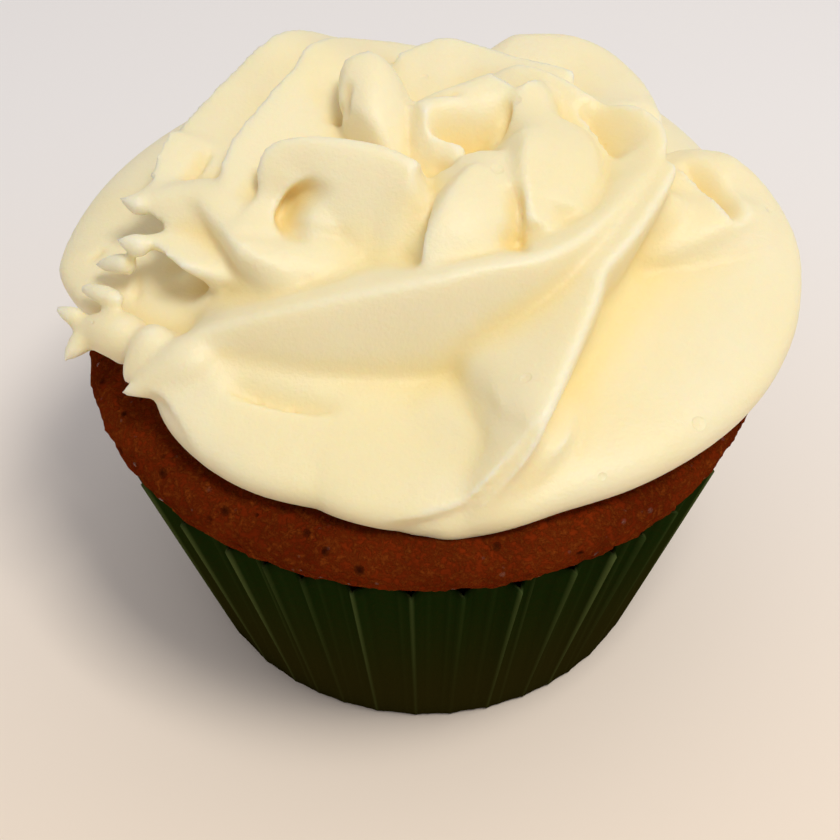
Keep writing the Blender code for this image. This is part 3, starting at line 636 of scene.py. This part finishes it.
def pleat_offset(angle, pleats, depth):
    """How far a pleat stands out at an angle, and how near it is to a crease's edge, as a mask of painted
    highlight.

    Each pleat is a sharp crease with a wide shallow hollow beside it, and a lower crease in that hollow.
    """
    turns = angle / (2 * np.pi) * pleats
    place = turns + waves(angle, PLEAT_WANDER)
    nearness = np.abs(2 * np.mod(place, 1.0) - 1)
    crease = nearness**CREASE_POWER
    low_share = np.mod(2 * place + 0.5 + waves(angle, LOW_CREASE_WANDER), 1.0)
    low_crease = np.abs(2 * low_share - 1) ** LOW_CREASE_POWER * (1 - nearness) ** LOW_CREASE_FADE
    uneven = 1 + waves(angle, PLEAT_UNEVENNESS)
    offset = depth * uneven * (crease + LOW_CREASE_SHARE * low_crease - CREASE_MIDDLE)
    return offset, np.maximum(crease**CREASE_HIGHLIGHT_POWER, LOW_CREASE_HIGHLIGHT_SHARE * low_crease**LOW_CREASE_HIGHLIGHT_POWER)


def case_ring(mesh_builder, settings, radius, height, depth):
    """One level of the case: a circle whose points move out to the pleats."""
    corners = settings.pleats * CASE_PLEAT_STEPS
    made = bmesh.ops.create_circle(mesh_builder, segments=corners, radius=radius, cap_ends=False)
    for vert in made["verts"]:
        angle = math.atan2(vert.co.y, vert.co.x)
        offset, _ = pleat_offset(angle, settings.pleats, depth)
        pleated = radius + offset
        vert.co = (pleated * math.cos(angle), pleated * math.sin(angle), height)
    return made["verts"]


def ring_edges(verts):
    ring = set(verts)
    return [edge for edge in {e for v in verts for e in v.link_edges} if set(edge.verts) <= ring]


def build_case(settings):
    """The paper case as one pleated sheet with a flat base, thickened to paper."""
    mesh_builder = bmesh.new()
    depth = settings.pleat_depth / MILLIMETRE
    lowest_radius = CASE_BASE_RADIUS - CASE_FOOT_STEP
    rings = [case_ring(mesh_builder, settings, CASE_BASE_RADIUS - CASE_FOOT_INSET, 0.0, 0.0)]
    for level in range(CASE_LEVELS + 1):
        share = level / CASE_LEVELS
        height = CASE_FOOT_RISE + (CASE_HEIGHT - CASE_FOOT_RISE) * share
        radius = lowest_radius + (CASE_TOP_RADIUS - lowest_radius) * share
        deep = depth * (CASE_FOOT_DEPTH + (1 - CASE_FOOT_DEPTH) * share**CASE_DEPTH_POWER)
        rings.append(case_ring(mesh_builder, settings, radius, height, deep))
    for lower, upper in zip(rings, rings[1:]):
        bmesh.ops.bridge_loops(mesh_builder, edges=ring_edges(lower) + ring_edges(upper))
    bmesh.ops.contextual_create(mesh_builder, geom=ring_edges(rings[0]))
    case = object_from_bmesh(mesh_builder, "case_paper")
    wall = case.modifiers.new("paper", "SOLIDIFY")
    wall.thickness = settings.paper
    wall.offset = -1
    apply_modifiers(case)
    points = vertex_vectors(case.data, "co")
    angle = np.arctan2(points[:, 1], points[:, 0])
    _, crease = pleat_offset(angle, settings.pleats, depth)
    # The crease mask sets the painted highlight along the creases
    store_values(case.data, "crease", crease)
    return case


# Cake


def cake_profile():
    """Radius and height down the cake's outside, from the crown to the middle of its base."""
    points = [(0.0, CAKE_CROWN_HEIGHT)]
    for step in range(1, CROWN_STEPS + 1):
        share = (step / CROWN_STEPS) ** CROWN_STEP_POWER
        drop = (CAKE_CROWN_HEIGHT - CAKE_SHOULDER_HEIGHT) * share**CAKE_CROWN_POWER
        points.append((CAKE_SHOULDER_RADIUS * share, CAKE_CROWN_HEIGHT - drop))
    for step in range(1, LIP_STEPS + 1):
        turn = math.radians(90 * step / LIP_STEPS)
        radius = CAKE_SHOULDER_RADIUS + (CAKE_LIP_RADIUS - CAKE_SHOULDER_RADIUS) * math.sin(turn)
        height = CAKE_LIP_HEIGHT + (CAKE_SHOULDER_HEIGHT - CAKE_LIP_HEIGHT) * math.cos(turn)
        points.append((radius, height))
    inside_top = CASE_TOP_RADIUS - CAKE_TOP_INSET
    for step in range(1, LIP_STEPS + 1):
        turn = math.radians(90 * step / LIP_STEPS)
        radius = inside_top + (CAKE_LIP_RADIUS - inside_top) * math.cos(turn)
        height = CAKE_LIP_HEIGHT - (CAKE_LIP_HEIGHT - CAKE_LIP_UNDERSIDE) * math.sin(turn)
        points.append((radius, height))
    inside_base = CASE_BASE_RADIUS - CAKE_BASE_INSET
    points.append((inside_top - CAKE_NECK_INSET, CASE_HEIGHT - CAKE_NECK_DROP))
    points.extend((inside_base - inset, FIT_GAP + rise) for inset, rise in CAKE_FOOT)
    points.append((0.0, points[-1][1]))
    return points


def lip_wave(angle):
    """Uneven rise of the lip round the cake."""
    return CAKE_UNEVENNESS * waves(angle, LIP_WAVES)


def spun(mesh_builder, outline, steps):
    """Turns an outline of radii and heights once round the upright axis."""
    verts = [mesh_builder.verts.new((radius, 0.0, height)) for radius, height in outline]
    edges = [mesh_builder.edges.new(pair) for pair in zip(verts, verts[1:])]
    bmesh.ops.spin(
        mesh_builder,
        geom=verts + edges,
        cent=(0, 0, 0),
        axis=(0, 0, 1),
        angle=2 * math.pi,
        steps=steps,
        use_merge=True,
        use_duplicate=False,
    )
    bmesh.ops.remove_doubles(mesh_builder, verts=mesh_builder.verts, dist=0.001)


def roughen(target, name, size, strength):
    """Displaces a mesh along its normals by Blender's own clouds texture."""
    texture = bpy.data.textures.new(name, "CLOUDS")
    texture.noise_scale = size
    relief = target.modifiers.new(name, "DISPLACE")
    relief.texture = texture
    relief.texture_coords = "LOCAL"
    relief.strength = strength
    apply_modifiers(target)
    bpy.data.textures.remove(texture)


def build_cake(settings):
    """The cake: a spun body with an uneven, crumbly lip."""
    mesh_builder = bmesh.new()
    spun(mesh_builder, cake_profile(), CAKE_STEPS)
    middle_of_lip = (CAKE_SHOULDER_RADIUS + CAKE_LIP_RADIUS) / 2
    for vert in mesh_builder.verts:
        radius = math.hypot(vert.co.x, vert.co.y)
        if radius > middle_of_lip:
            swell = 1 + lip_wave(math.atan2(vert.co.y, vert.co.x)) / radius
            vert.co.x *= swell
            vert.co.y *= swell
    cake = object_from_bmesh(mesh_builder, "cake_crumb")
    roughen(cake, "crumb lumps", LUMP_SIZE, settings.crumb * LUMP_STRENGTH)
    roughen(cake, "crumb grains", GRAIN_SIZE, settings.crumb)
    return cake


def build_seat():
    """The cake's top raised by the gap, closed far below: it cuts the frosting's underside."""
    mesh_builder = bmesh.new()
    outline = []
    for radius, height in cake_profile():
        if height >= CAKE_LIP_UNDERSIDE and radius <= CAKE_LIP_RADIUS:
            outline.append((radius, height))
    lip = outline.index(max(outline))
    raised = []
    for radius, height in outline[:lip + 1]:
        raised.append((radius + SEAT_GAP * radius / CAKE_LIP_RADIUS, height + SEAT_GAP))
    raised.append((raised[-1][0], SEAT_BOTTOM))
    raised.append((0.0, SEAT_BOTTOM))
    spun(mesh_builder, raised, SEAT_STEPS)
    return object_from_bmesh(mesh_builder, "frosting_seat")


# Frosting


def around(azimuth, sides):
    """Smooth value round the dome through its four named sides."""
    values = np.array(sides, float)
    turn = (azimuth / (math.pi / 2)) % 4
    side = np.floor(turn).astype(int) % 4
    share = turn - np.floor(turn)
    before, here, after, beyond = (values[(side + step) % 4] for step in (-1, 0, 1, 2))
    slope_here = np.where((here - before) * (after - here) > 0, (after - before) / 2, 0)
    slope_after = np.where((after - here) * (beyond - after) > 0, (beyond - here) / 2, 0)
    cube = share**3
    square = share**2
    value = (2 * cube - 3 * square + 1) * here + (3 * square - 2 * cube) * after
    return value + (cube - 2 * square + share) * slope_here + (cube - square) * slope_after


def bowl_distance(azimuth, polar, radius, crown, power, equator):
    """How far a ray from the seat goes before it leaves a rounded bowl."""
    sine = np.sin(polar)
    cosine = np.cos(polar)
    near = np.zeros_like(azimuth)
    far = np.full_like(azimuth, FARTHEST)
    halvings = 30
    for _ in range(halvings):
        middle = (near + far) / 2
        height = SEAT_HEIGHT + middle * cosine
        above = height > equator
        rise = np.where(above, crown - equator, equator - DOME_FOOT_HEIGHT)
        steep = np.where(above, power, DOME_UNDER_POWER)
        inside = (middle * sine / radius) ** steep + (np.abs(height - equator) / rise) ** steep < 1
        near = np.where(inside, middle, near)
        far = np.where(inside, far, middle)
    return (near + far) / 2


def dome_distance(azimuth, polar):
    """Distance from the seat to the dome that the folds lie on: an inner mound in an outer round."""
    equator = around(azimuth, DOME_EQUATOR)
    outer_radius = around(azimuth, DOME_OUTER_RADIUS)
    for swell in SWELLS:
        turn = (azimuth - math.radians(swell.azimuth) + math.pi) % (2 * math.pi) - math.pi
        outer_radius = outer_radius + swell.depth * np.exp(-((turn / math.radians(swell.half_width)) ** 2))
    outer_crown = around(azimuth, DOME_OUTER_CROWN)
    inner_radius = around(azimuth, DOME_INNER_RADIUS)
    inner_crown = around(azimuth, DOME_INNER_CROWN)
    outer = bowl_distance(azimuth, polar, outer_radius, outer_crown, DOME_OUTER_POWER, equator)
    inner = bowl_distance(azimuth, polar, inner_radius, inner_crown, DOME_INNER_POWER, equator)
    larger = np.maximum(outer, inner)
    smaller = np.minimum(outer, inner)
    return larger + np.log1p(np.exp(DOME_BLEND * (smaller - larger))) / DOME_BLEND * DOME_BLEND_SHARE


def smooth_path(stations):
    """Smooth curve through the stations."""
    points = np.vstack([2 * stations[0] - stations[1], stations, 2 * stations[-1] - stations[-2]])
    spans = len(stations) - 1
    place = np.linspace(0, spans, RIDGE_SAMPLES)
    span = np.minimum(place.astype(int), spans - 1)
    share = (place - span)[:, None]
    before, here, after, beyond = (points[span + step] for step in (0, 1, 2, 3))
    bend = (2 * before - 5 * here + 4 * after - beyond) * share**2
    twist = (3 * here - before - 3 * after + beyond) * share**3
    return (2 * here + (after - before) * share + bend + twist) / 2


def nearest_on_path(points, path):
    """Distance from each point to a path, and where along it the nearest place is."""
    nearest = ((points[:, None, :] - path[None]) ** 2).sum(2).argmin(1)
    best_distance = np.full(len(points), np.inf)
    best_place = np.zeros(len(points))
    for step in (-1, 1):
        other = np.clip(nearest + step, 0, len(path) - 1)
        span = path[other] - path[nearest]
        length = np.maximum((span * span).sum(1), TINY)
        share = np.clip(((points - path[nearest]) * span).sum(1) / length, 0, 1)
        distance = np.linalg.norm(points - path[nearest] - span * share[:, None], axis=1)
        closer = distance < best_distance
        best_distance = np.where(closer, distance, best_distance)
        best_place = np.where(closer, nearest + (other - nearest) * share, best_place)
    return best_distance, best_place


def flank_share(distance, shape, lip):
    """How much of a ridge's height is left at a distance from its crest."""
    width, hollow = shape
    rounded = np.sqrt(distance**2 + lip**2) - lip
    share = np.clip(rounded / width, 0, 1)
    if hollow == LOBE:
        return (1 - share**2) ** LOBE_POWER
    return (1 - share) ** hollow


def ridge_on_dome(ridge, points):
    """Height that a ridge adds along the rays at points of the dome, and how far it leans there."""
    stations = [to_xyz(*station) for station in zip(ridge.azimuths, ridge.radii, ridge.heights)]
    crest = smooth_path(np.array(stations)) - (0, 0, SEAT_HEIGHT)
    samples = np.arange(RIDGE_SAMPLES)
    end_share = np.minimum(samples, RIDGE_SAMPLES - 1 - samples) / (RIDGE_SAMPLES - 1)
    lean_along = ridge.lean * np.clip(end_share / LEAN_FADE, 0, 1)
    for unlean in (True, False):
        reach = np.linalg.norm(crest, axis=1)
        ray = crest / reach[:, None]
        dome = dome_distance(np.arctan2(ray[:, 1], ray[:, 0]), np.arccos(ray[:, 2]))
        path = ray * dome[:, None] + (0, 0, SEAT_HEIGHT)
        side = np.cross(ray, np.gradient(path, axis=0))
        side /= np.linalg.norm(side, axis=1)[:, None]
        if unlean:
            lean = lean_along * np.clip((reach - dome) / LEAN_FULL_HEIGHT, 0, LEAN_MOST)
            crest = crest - side * lean[:, None]
    lengths = np.linalg.norm(np.diff(path, axis=0), axis=1)
    along = np.concatenate([[0], np.cumsum(lengths)]) / lengths.sum()
    fade_in = np.clip(along / ridge.fades[0], 0, 1) ** FADE_POWER
    fade_out = np.clip((1 - along) / ridge.fades[1], 0, 1) ** FADE_POWER
    rise = (reach - dome) * fade_in * fade_out
    margin = max(ridge.left[0], ridge.right[0]) + 2 * ridge.lip
    low = path.min(0) - margin
    high = path.max(0) + margin
    close = np.where(((points >= low) & (points <= high)).all(1))[0]
    height = np.zeros(len(points))
    shift = np.zeros((len(points), 3))
    chunk = 8000
    for start in range(0, len(close), chunk):
        rows = close[start:start + chunk]
        distance, place = nearest_on_path(points[rows], path)
        rise_here = np.interp(place, samples, rise)
        side_here = np.stack([np.interp(place, samples, side[:, axis]) for axis in range(3)], 1)
        foot_here = np.stack([np.interp(place, samples, path[:, axis]) for axis in range(3)], 1)
        leftness = ((points[rows] - foot_here) * side_here).sum(1) / np.maximum(distance, TINY)
        left_share = 0.5 + 0.5 * np.clip(leftness, -1, 1)
        left = flank_share(distance, ridge.left, ridge.lip)
        right = flank_share(distance, ridge.right, ridge.lip)
        flank = right + (left - right) * left_share
        height[rows] = rise_here * flank
        lean_here = np.interp(place, samples, lean_along)
        lean = lean_here * flank**LEAN_POWER * np.clip(rise_here / LEAN_FULL_HEIGHT, 0, LEAN_MOST)
        shift[rows] = side_here * lean[:, None]
    return height, shift


def frosting_surface(azimuth, polar):
    """Where the frosting's surface is along each ray from the seat."""
    ray = np.stack([np.sin(polar) * np.cos(azimuth), np.sin(polar) * np.sin(azimuth), np.cos(polar)], 1)
    dome = dome_distance(azimuth, polar)
    points = ray * dome[:, None] + (0, 0, SEAT_HEIGHT)
    heights = []
    shifts = []
    for ridge in RIDGES.values():
        height, shift = ridge_on_dome(ridge, points)
        heights.append(height)
        shifts.append(shift)
    heights = np.stack(heights, 1)
    highest = heights.max(1)
    weights = np.exp(RIDGE_BLEND * (heights - highest[:, None]))
    total = weights.sum(1)
    fill = np.log(total) / RIDGE_BLEND * RIDGE_BLEND_SHARE * np.clip(highest, 0, 1)
    distance = dome + highest + fill
    for pocket in POCKETS:
        centre = to_xyz(pocket.azimuth, pocket.radius, pocket.height) - (0, 0, SEAT_HEIGHT)
        centre /= np.linalg.norm(centre)
        away = np.arccos(np.clip(ray @ centre, -1, 1)) * dome
        distance -= pocket.depth * np.exp(-((away / pocket.width) ** 2))
    lean = np.einsum("nk,nkc->nc", weights / total[:, None], np.stack(shifts, 1))
    return ray * distance[:, None] + lean + (0, 0, SEAT_HEIGHT)


def build_swirl():
    """A sphere whose rays are moved out to the frosting's surface."""
    mesh_builder = bmesh.new()
    bmesh.ops.create_uvsphere(mesh_builder, u_segments=RAYS_ROUND, v_segments=RAYS_DOWN, radius=1.0)
    rays = np.array([vert.co for vert in mesh_builder.verts])
    azimuth = np.arctan2(rays[:, 1], rays[:, 0])
    polar = np.arccos(np.clip(rays[:, 2], -1, 1))
    surface = frosting_surface(azimuth, polar)
    for vert, place in zip(mesh_builder.verts, surface):
        vert.co = place
    return object_from_bmesh(mesh_builder, "frosting_swirl")


def build_shred(shred):
    """One torn bit of the tail: a cone with round ends from its start to its end."""
    start = to_xyz(*shred.start)
    end = to_xyz(*shred.end)
    direction = (end - start) / np.linalg.norm(end - start)
    across = np.cross(direction, (0, 0, 1))
    across /= np.linalg.norm(across)
    upright = np.cross(across, direction)
    mesh_builder = bmesh.new()
    bmesh.ops.create_uvsphere(mesh_builder, u_segments=SHRED_STEPS, v_segments=SHRED_STEPS, radius=1.0)
    for vert in mesh_builder.verts:
        share = (vert.co.z + 1) / 2
        radius = shred.start_radius + (shred.end_radius - shred.start_radius) * share
        middle = start + (end - start) * share
        vert.co = middle + (across * vert.co.x + upright * vert.co.y) * radius
    return object_from_bmesh(mesh_builder, "shred")


def smooth(share):
    share = np.clip(share, 0, 1)
    return share * share * (3 - 2 * share)


def hollow_frame(points, normals, hollow):
    """Middle of a hollow's edge, and its directions along the edge, away from it and out of the surface."""
    start = to_xyz(*hollow.start)
    end = to_xyz(*hollow.end)
    middle = (start + end) / 2
    nearness = np.exp(-((points - middle) ** 2).sum(1) / HOLLOW_PATCH**2)
    outward = nearness @ normals
    outward /= np.linalg.norm(outward)
    along = (end - start) - outward * ((end - start) @ outward)
    along /= np.linalg.norm(along)
    return middle, along, np.cross(outward, along), outward


def hollow_share(points, hollow, place, edge):
    """How much of the hollow's depth each point takes: full along the edge, fading away from it."""
    middle, along, across, outward = place
    offset = points - middle
    reach = 1 - (offset @ along / (np.linalg.norm(to_xyz(*hollow.end) - to_xyz(*hollow.start)) / 2)) ** 2
    away = offset @ across - hollow.bow * reach
    share = smooth(reach) * smooth(away / edge + 0.5) * smooth(1 - away / hollow.width)
    return share * smooth(2 - np.abs(offset @ outward) / HOLLOW_REACH)


def press_hollows(target):
    """Presses every hollow into the target; gives back where each one lies."""
    points = vertex_vectors(target.data, "co") / MILLIMETRE
    normals = vertex_vectors(target.data, "normal")
    places = []
    for hollow in HOLLOWS.values():
        place = hollow_frame(points, normals, hollow)
        _, _, across, outward = place
        share = hollow_share(points, hollow, place, HOLLOW_EDGE)
        points = points - share[:, None] * (across * hollow.under + outward * hollow.depth)
        places.append(place)
    target.data.vertices.foreach_set("co", (points * MILLIMETRE).astype(np.float32).ravel())
    target.data.update()
    return places


def make_even(target):
    """Gives an object one closed skin of even squares."""
    even = target.modifiers.new("even", "REMESH")
    even.mode = "VOXEL"
    even.voxel_size = REMESH_SIZE * MILLIMETRE
    even.adaptivity = 0.0
    apply_modifiers(target)


def joined(target, others):
    """Adds the other objects' meshes to the target's and removes those objects."""
    mesh_builder = bmesh.new()
    mesh_builder.from_mesh(target.data)
    for other in others:
        mesh_builder.from_mesh(other.data)
        bpy.data.objects.remove(other)
    mesh_builder.to_mesh(target.data)
    mesh_builder.free()


def keep_largest(target):
    """Drops loose scraps, so that the object is one body."""
    mesh_builder = bmesh.new()
    mesh_builder.from_mesh(target.data)
    unseen = set(mesh_builder.verts)
    bodies = []
    while unseen:
        front = [unseen.pop()]
        body = list(front)
        while front:
            vert = front.pop()
            for edge in vert.link_edges:
                other = edge.other_vert(vert)
                if other in unseen:
                    unseen.remove(other)
                    front.append(other)
                    body.append(other)
        bodies.append(body)
    bodies.sort(key=len)
    scraps = [vert for body in bodies[:-1] for vert in body]
    bmesh.ops.delete(mesh_builder, geom=scraps, context="VERTS")
    mesh_builder.to_mesh(target.data)
    mesh_builder.free()


def mark_crests(mesh, places):
    """Stores how sharp a crest each point lies on and how deep in a fold: masks for painted highlight and
    shade.
    """
    points = vertex_vectors(mesh, "co") / MILLIMETRE
    edges = np.empty(len(mesh.edges) * 2, np.int32)
    mesh.edges.foreach_get("vertices", edges)
    edges = edges.reshape(-1, 2)
    normals = vertex_vectors(mesh, "normal")
    near = relaxed(points, edges, NEAR_ROUNDS)
    far = relaxed(near, edges, FAR_ROUNDS)
    # The crest mask sets the painted highlight along the crests
    crest = np.clip(((points - near) * normals).sum(1) / CREST_HEIGHT - CREST_START, 0, CREST_MOST)
    # The fold mask and each hollow's share set the painted golden shade in the folds
    fold = np.clip(((far - near) * normals).sum(1) / FOLD_DEPTH, 0, 1)
    for hollow, place in zip(HOLLOWS.values(), places):
        fold = np.maximum(fold, hollow.gold * hollow_share(points, hollow, place, PAINTED_SHADE_EDGE))
    high = points[:, 2] > SEAT_HEIGHT - MARKED_BELOW_SEAT
    store_values(mesh, "crest", crest * high)
    store_values(mesh, "fold", fold * high)


def build_frosting(settings):
    """The piped swirl, its torn tail and its underside, as one closed body."""
    frosting = build_swirl()
    joined(frosting, [build_shred(shred) for shred in SHREDS])
    make_even(frosting)
    places = press_hollows(frosting)
    make_even(frosting)
    soften = frosting.modifiers.new("soften", "SMOOTH")
    soften.factor = SOFTEN_FACTOR
    soften.iterations = SOFTEN_ROUNDS
    apply_modifiers(frosting)
    seat = build_seat()
    cut = frosting.modifiers.new("underside", "BOOLEAN")
    cut.operation = "DIFFERENCE"
    cut.object = seat
    cut.solver = "MANIFOLD"
    apply_modifiers(frosting)
    bpy.data.objects.remove(seat)
    keep_largest(frosting)
    mark_crests(frosting.data, places)
    return frosting


# Stage

LIGHT_AIM = (0.0, 0.0, 0.04)
WINDOW_PLACE = (0.14, -0.15, 0.53)
WINDOW_SIZE = 0.15
WINDOW_COLOUR = (1.0, 0.95, 0.85)
FILL_PLACE = (0.36, 0.16, 0.36)
FILL_SIZE = 0.4
FILL_COLOUR = (1.0, 0.95, 0.9)
FLOOR_REACH = 2500.0
FLOOR_FAR = 0.10
FLOOR_NEAR = -0.11
FLOOR_FAR_COLOUR = (0.95, 0.92, 0.92)
# The warmer colour towards the front is painted warm light
FLOOR_WARM_LIGHT_COLOUR = (0.97, 0.81, 0.65)
SENSOR_WIDTH = 36.0
CLIP_START = 0.01


def area_light(name, place, size, watts, colour):
    light = bpy.data.lights.new(name, "AREA")
    light.energy = watts
    light.size = size
    light.color = colour
    lamp = shown(name, light)
    lamp.location = place
    lamp.rotation_euler = (Vector(LIGHT_AIM) - Vector(place)).to_track_quat("-Z", "Y").to_euler()


def build_floor():
    mesh_builder = bmesh.new()
    bmesh.ops.create_grid(mesh_builder, x_segments=2, y_segments=2, size=FLOOR_REACH)
    floor = object_from_bmesh(mesh_builder, "floor")
    material, tree, shader, place = placed_material("pale table")
    split = tree.nodes.new("ShaderNodeSeparateXYZ")
    tree.links.new(place, split.inputs["Vector"])
    nearness = stretched(tree, split.outputs["Y"], FLOOR_FAR, FLOOR_NEAR)
    # Painted warm light: the floor turns warmer towards the front
    colour = mixed_colour(tree, nearness, FLOOR_FAR_COLOUR, FLOOR_WARM_LIGHT_COLOUR)
    tree.links.new(colour, shader.inputs["Base Color"])
    set_inputs(shader, {"Roughness": 0.6, "Specular IOR Level": 0.2})
    floor.data.materials.append(material)


def place_camera(settings):
    camera = bpy.data.cameras.new("camera")
    camera.lens = settings.lens
    camera.sensor_width = SENSOR_WIDTH
    camera.clip_start = CLIP_START
    camera.shift_x = settings.shift_x
    camera.shift_y = settings.shift_y
    holder = shown("camera", camera)
    tilt = settings.camera_tilt
    distance = settings.camera_distance
    holder.location = (0.0, -distance * math.cos(tilt), settings.target_height + distance * math.sin(tilt))
    holder.rotation_euler = (math.pi / 2 - tilt, 0.0, 0.0)
    bpy.context.scene.camera = holder


def light_scene(settings):
    scene = bpy.context.scene
    scene.view_settings.view_transform = "Standard"
    world = bpy.data.worlds.new("soft room")
    scene.world = world
    world.use_nodes = True
    background = world.node_tree.nodes["Background"]
    background.inputs["Color"].default_value = (*settings.room_colour, 1.0)
    background.inputs["Strength"].default_value = settings.room_light
    area_light("window", WINDOW_PLACE, WINDOW_SIZE, settings.key_light, WINDOW_COLOUR)
    area_light("fill", FILL_PLACE, FILL_SIZE, settings.fill_light, FILL_COLOUR)


# Settings, one group for each piece


def colour_setting(name, description, default):
    return bpy.props.FloatVectorProperty(
        name=name, description=description, default=default, size=3, subtype="COLOR", min=0.0, max=1.0
    )


def number_setting(name, description, default, **kind):
    return bpy.props.FloatProperty(name=name, description=description, default=default, **kind)


class CUPCAKE_PG_frosting(bpy.types.PropertyGroup):
    colour: colour_setting("Cream", "Colour of most of the frosting", (0.93, 0.835, 0.575))
    warm_colour: colour_setting("Warm cream", "Colour of the frosting's warmer patches", (0.93, 0.81, 0.50))
    # The crest colour is a painted highlight along the thin crests
    crest_highlight_colour: colour_setting("Crests", "Colour along the thin crests", (0.93, 0.89, 0.80))
    # The fold colour is painted golden shade deep between the folds
    fold_shade_colour: colour_setting("Folds", "Colour deep between the folds", (0.93, 0.755, 0.36))
    softness: number_setting("Softness", "How far light spreads inside the cream", 0.5, min=0.0, max=1.0)


class CUPCAKE_PG_cake(bpy.types.PropertyGroup):
    colour: colour_setting("Crumb", "Colour of most of the cake", (0.18, 0.022, 0.003))
    dark_colour: colour_setting("Dark crumb", "Colour of the cake's darker patches", (0.12, 0.013, 0.002))
    grain_colour: colour_setting("Grains", "Colour of the lit grains", (0.40, 0.085, 0.012))
    # The pore colour is painted shade inside the pores
    pore_shade_colour: colour_setting("Pores", "Colour inside the pores", (0.035, 0.006, 0.002))
    crumb: number_setting("Crumb relief", "Height of the crumb's grains", 0.0005, unit="LENGTH")


class CUPCAKE_PG_case(bpy.types.PropertyGroup):
    pleats: bpy.props.IntProperty(
        name="Pleats", description="Number of pleats round the case", default=43, min=12, max=90
    )
    pleat_depth: number_setting("Pleat depth", "How far creases stand out at the rim", 0.0019, unit="LENGTH")
    paper: number_setting("Paper", "Thickness of the paper", 0.0003, unit="LENGTH")
    colour: colour_setting("Paper", "Colour of the paper near its rim", (0.009, 0.022, 0.003))
    foot_colour: colour_setting("Foot", "Colour of the paper near the table", (0.021, 0.018, 0.003))
    # The crease colour is a painted highlight along the creases
    crease_highlight_colour: colour_setting("Creases", "Colour along the creases", (0.10, 0.13, 0.04))


class CUPCAKE_PG_stage(bpy.types.PropertyGroup):
    camera_tilt: number_setting(
        "Camera tilt", "How steeply the camera looks down", math.radians(44.4), subtype="ANGLE"
    )
    camera_distance: number_setting(
        "Camera distance", "From the cupcake's middle to the camera", 0.178, unit="LENGTH"
    )
    target_height: number_setting("Target height", "Height that the camera is aimed at", 0.030, unit="LENGTH")
    lens: number_setting("Lens", "Focal length in millimetres", 67.2)
    shift_x: number_setting("Shift X", "Sideways shift of the frame", -0.0056)
    shift_y: number_setting("Shift Y", "Upright shift of the frame", -0.0675)
    key_light: number_setting("Window", "Power of the soft window light", 1.5)
    fill_light: number_setting("Fill", "Power of the low fill light", 0.12)
    room_light: number_setting("Room", "Strength of the light all round", 0.5)
    room_colour: colour_setting("Room colour", "Colour of the light all round", (0.94, 0.93, 0.95))


class CUPCAKE_OT_case(bpy.types.Operator):
    """Builds the pleated paper case"""

    bl_idname = "cupcake.case"
    bl_label = "Paper case"

    def execute(self, context):
        settings = context.scene.cupcake_case
        dress(build_case(settings), green_paper(settings), "paper_case")
        return {"FINISHED"}


class CUPCAKE_OT_cake(bpy.types.Operator):
    """Builds the red-brown cake"""

    bl_idname = "cupcake.cake"
    bl_label = "Cake"

    def execute(self, context):
        settings = context.scene.cupcake_cake
        dress(build_cake(settings), cake_crumb(settings), "cake")
        return {"FINISHED"}


class CUPCAKE_OT_frosting(bpy.types.Operator):
    """Builds the piped swirl of frosting"""

    bl_idname = "cupcake.frosting"
    bl_label = "Frosting"

    def execute(self, context):
        settings = context.scene.cupcake_frosting
        dress(build_frosting(settings), frosting_cream(settings), "frosting")
        return {"FINISHED"}


class CUPCAKE_OT_stage(bpy.types.Operator):
    """Builds the pale floor, the soft lights and the camera"""

    bl_idname = "cupcake.stage"
    bl_label = "Stage"

    def execute(self, context):
        settings = context.scene.cupcake_stage
        build_floor()
        light_scene(settings)
        place_camera(settings)
        return {"FINISHED"}


class CUPCAKE_PT_panel(bpy.types.Panel):
    """Lists the pieces of the cupcake and their settings"""

    bl_idname = "CUPCAKE_PT_panel"
    bl_label = "Frosted Cupcake"
    bl_space_type = "VIEW_3D"
    bl_region_type = "UI"
    bl_category = "Cupcake"

    def draw(self, context):
        for group in SETTINGS:
            box = self.layout.box()
            box.operator(group.replace("_", "."))
            settings = getattr(context.scene, group)
            for name in settings.bl_rna.properties.keys():
                if name not in ("rna_type", "name"):
                    box.prop(settings, name)


# Each group of settings has the name of its operator, with _ for the dot
SETTINGS = {
    "cupcake_case": CUPCAKE_PG_case,
    "cupcake_cake": CUPCAKE_PG_cake,
    "cupcake_frosting": CUPCAKE_PG_frosting,
    "cupcake_stage": CUPCAKE_PG_stage,
}

CLASSES = (
    *SETTINGS.values(),
    CUPCAKE_OT_case,
    CUPCAKE_OT_cake,
    CUPCAKE_OT_frosting,
    CUPCAKE_OT_stage,
    CUPCAKE_PT_panel,
)


def register():
    for made in CLASSES:
        bpy.utils.register_class(made)
    for name, group in SETTINGS.items():
        setattr(bpy.types.Scene, name, bpy.props.PointerProperty(type=group))


def unregister():
    for name in SETTINGS:
        delattr(bpy.types.Scene, name)
    for made in reversed(CLASSES):
        bpy.utils.unregister_class(made)


def main():
    register()
    bpy.ops.cupcake.case()
    bpy.ops.cupcake.cake()
    bpy.ops.cupcake.frosting()
    bpy.ops.cupcake.stage()


if __name__ == "__main__":
    main()
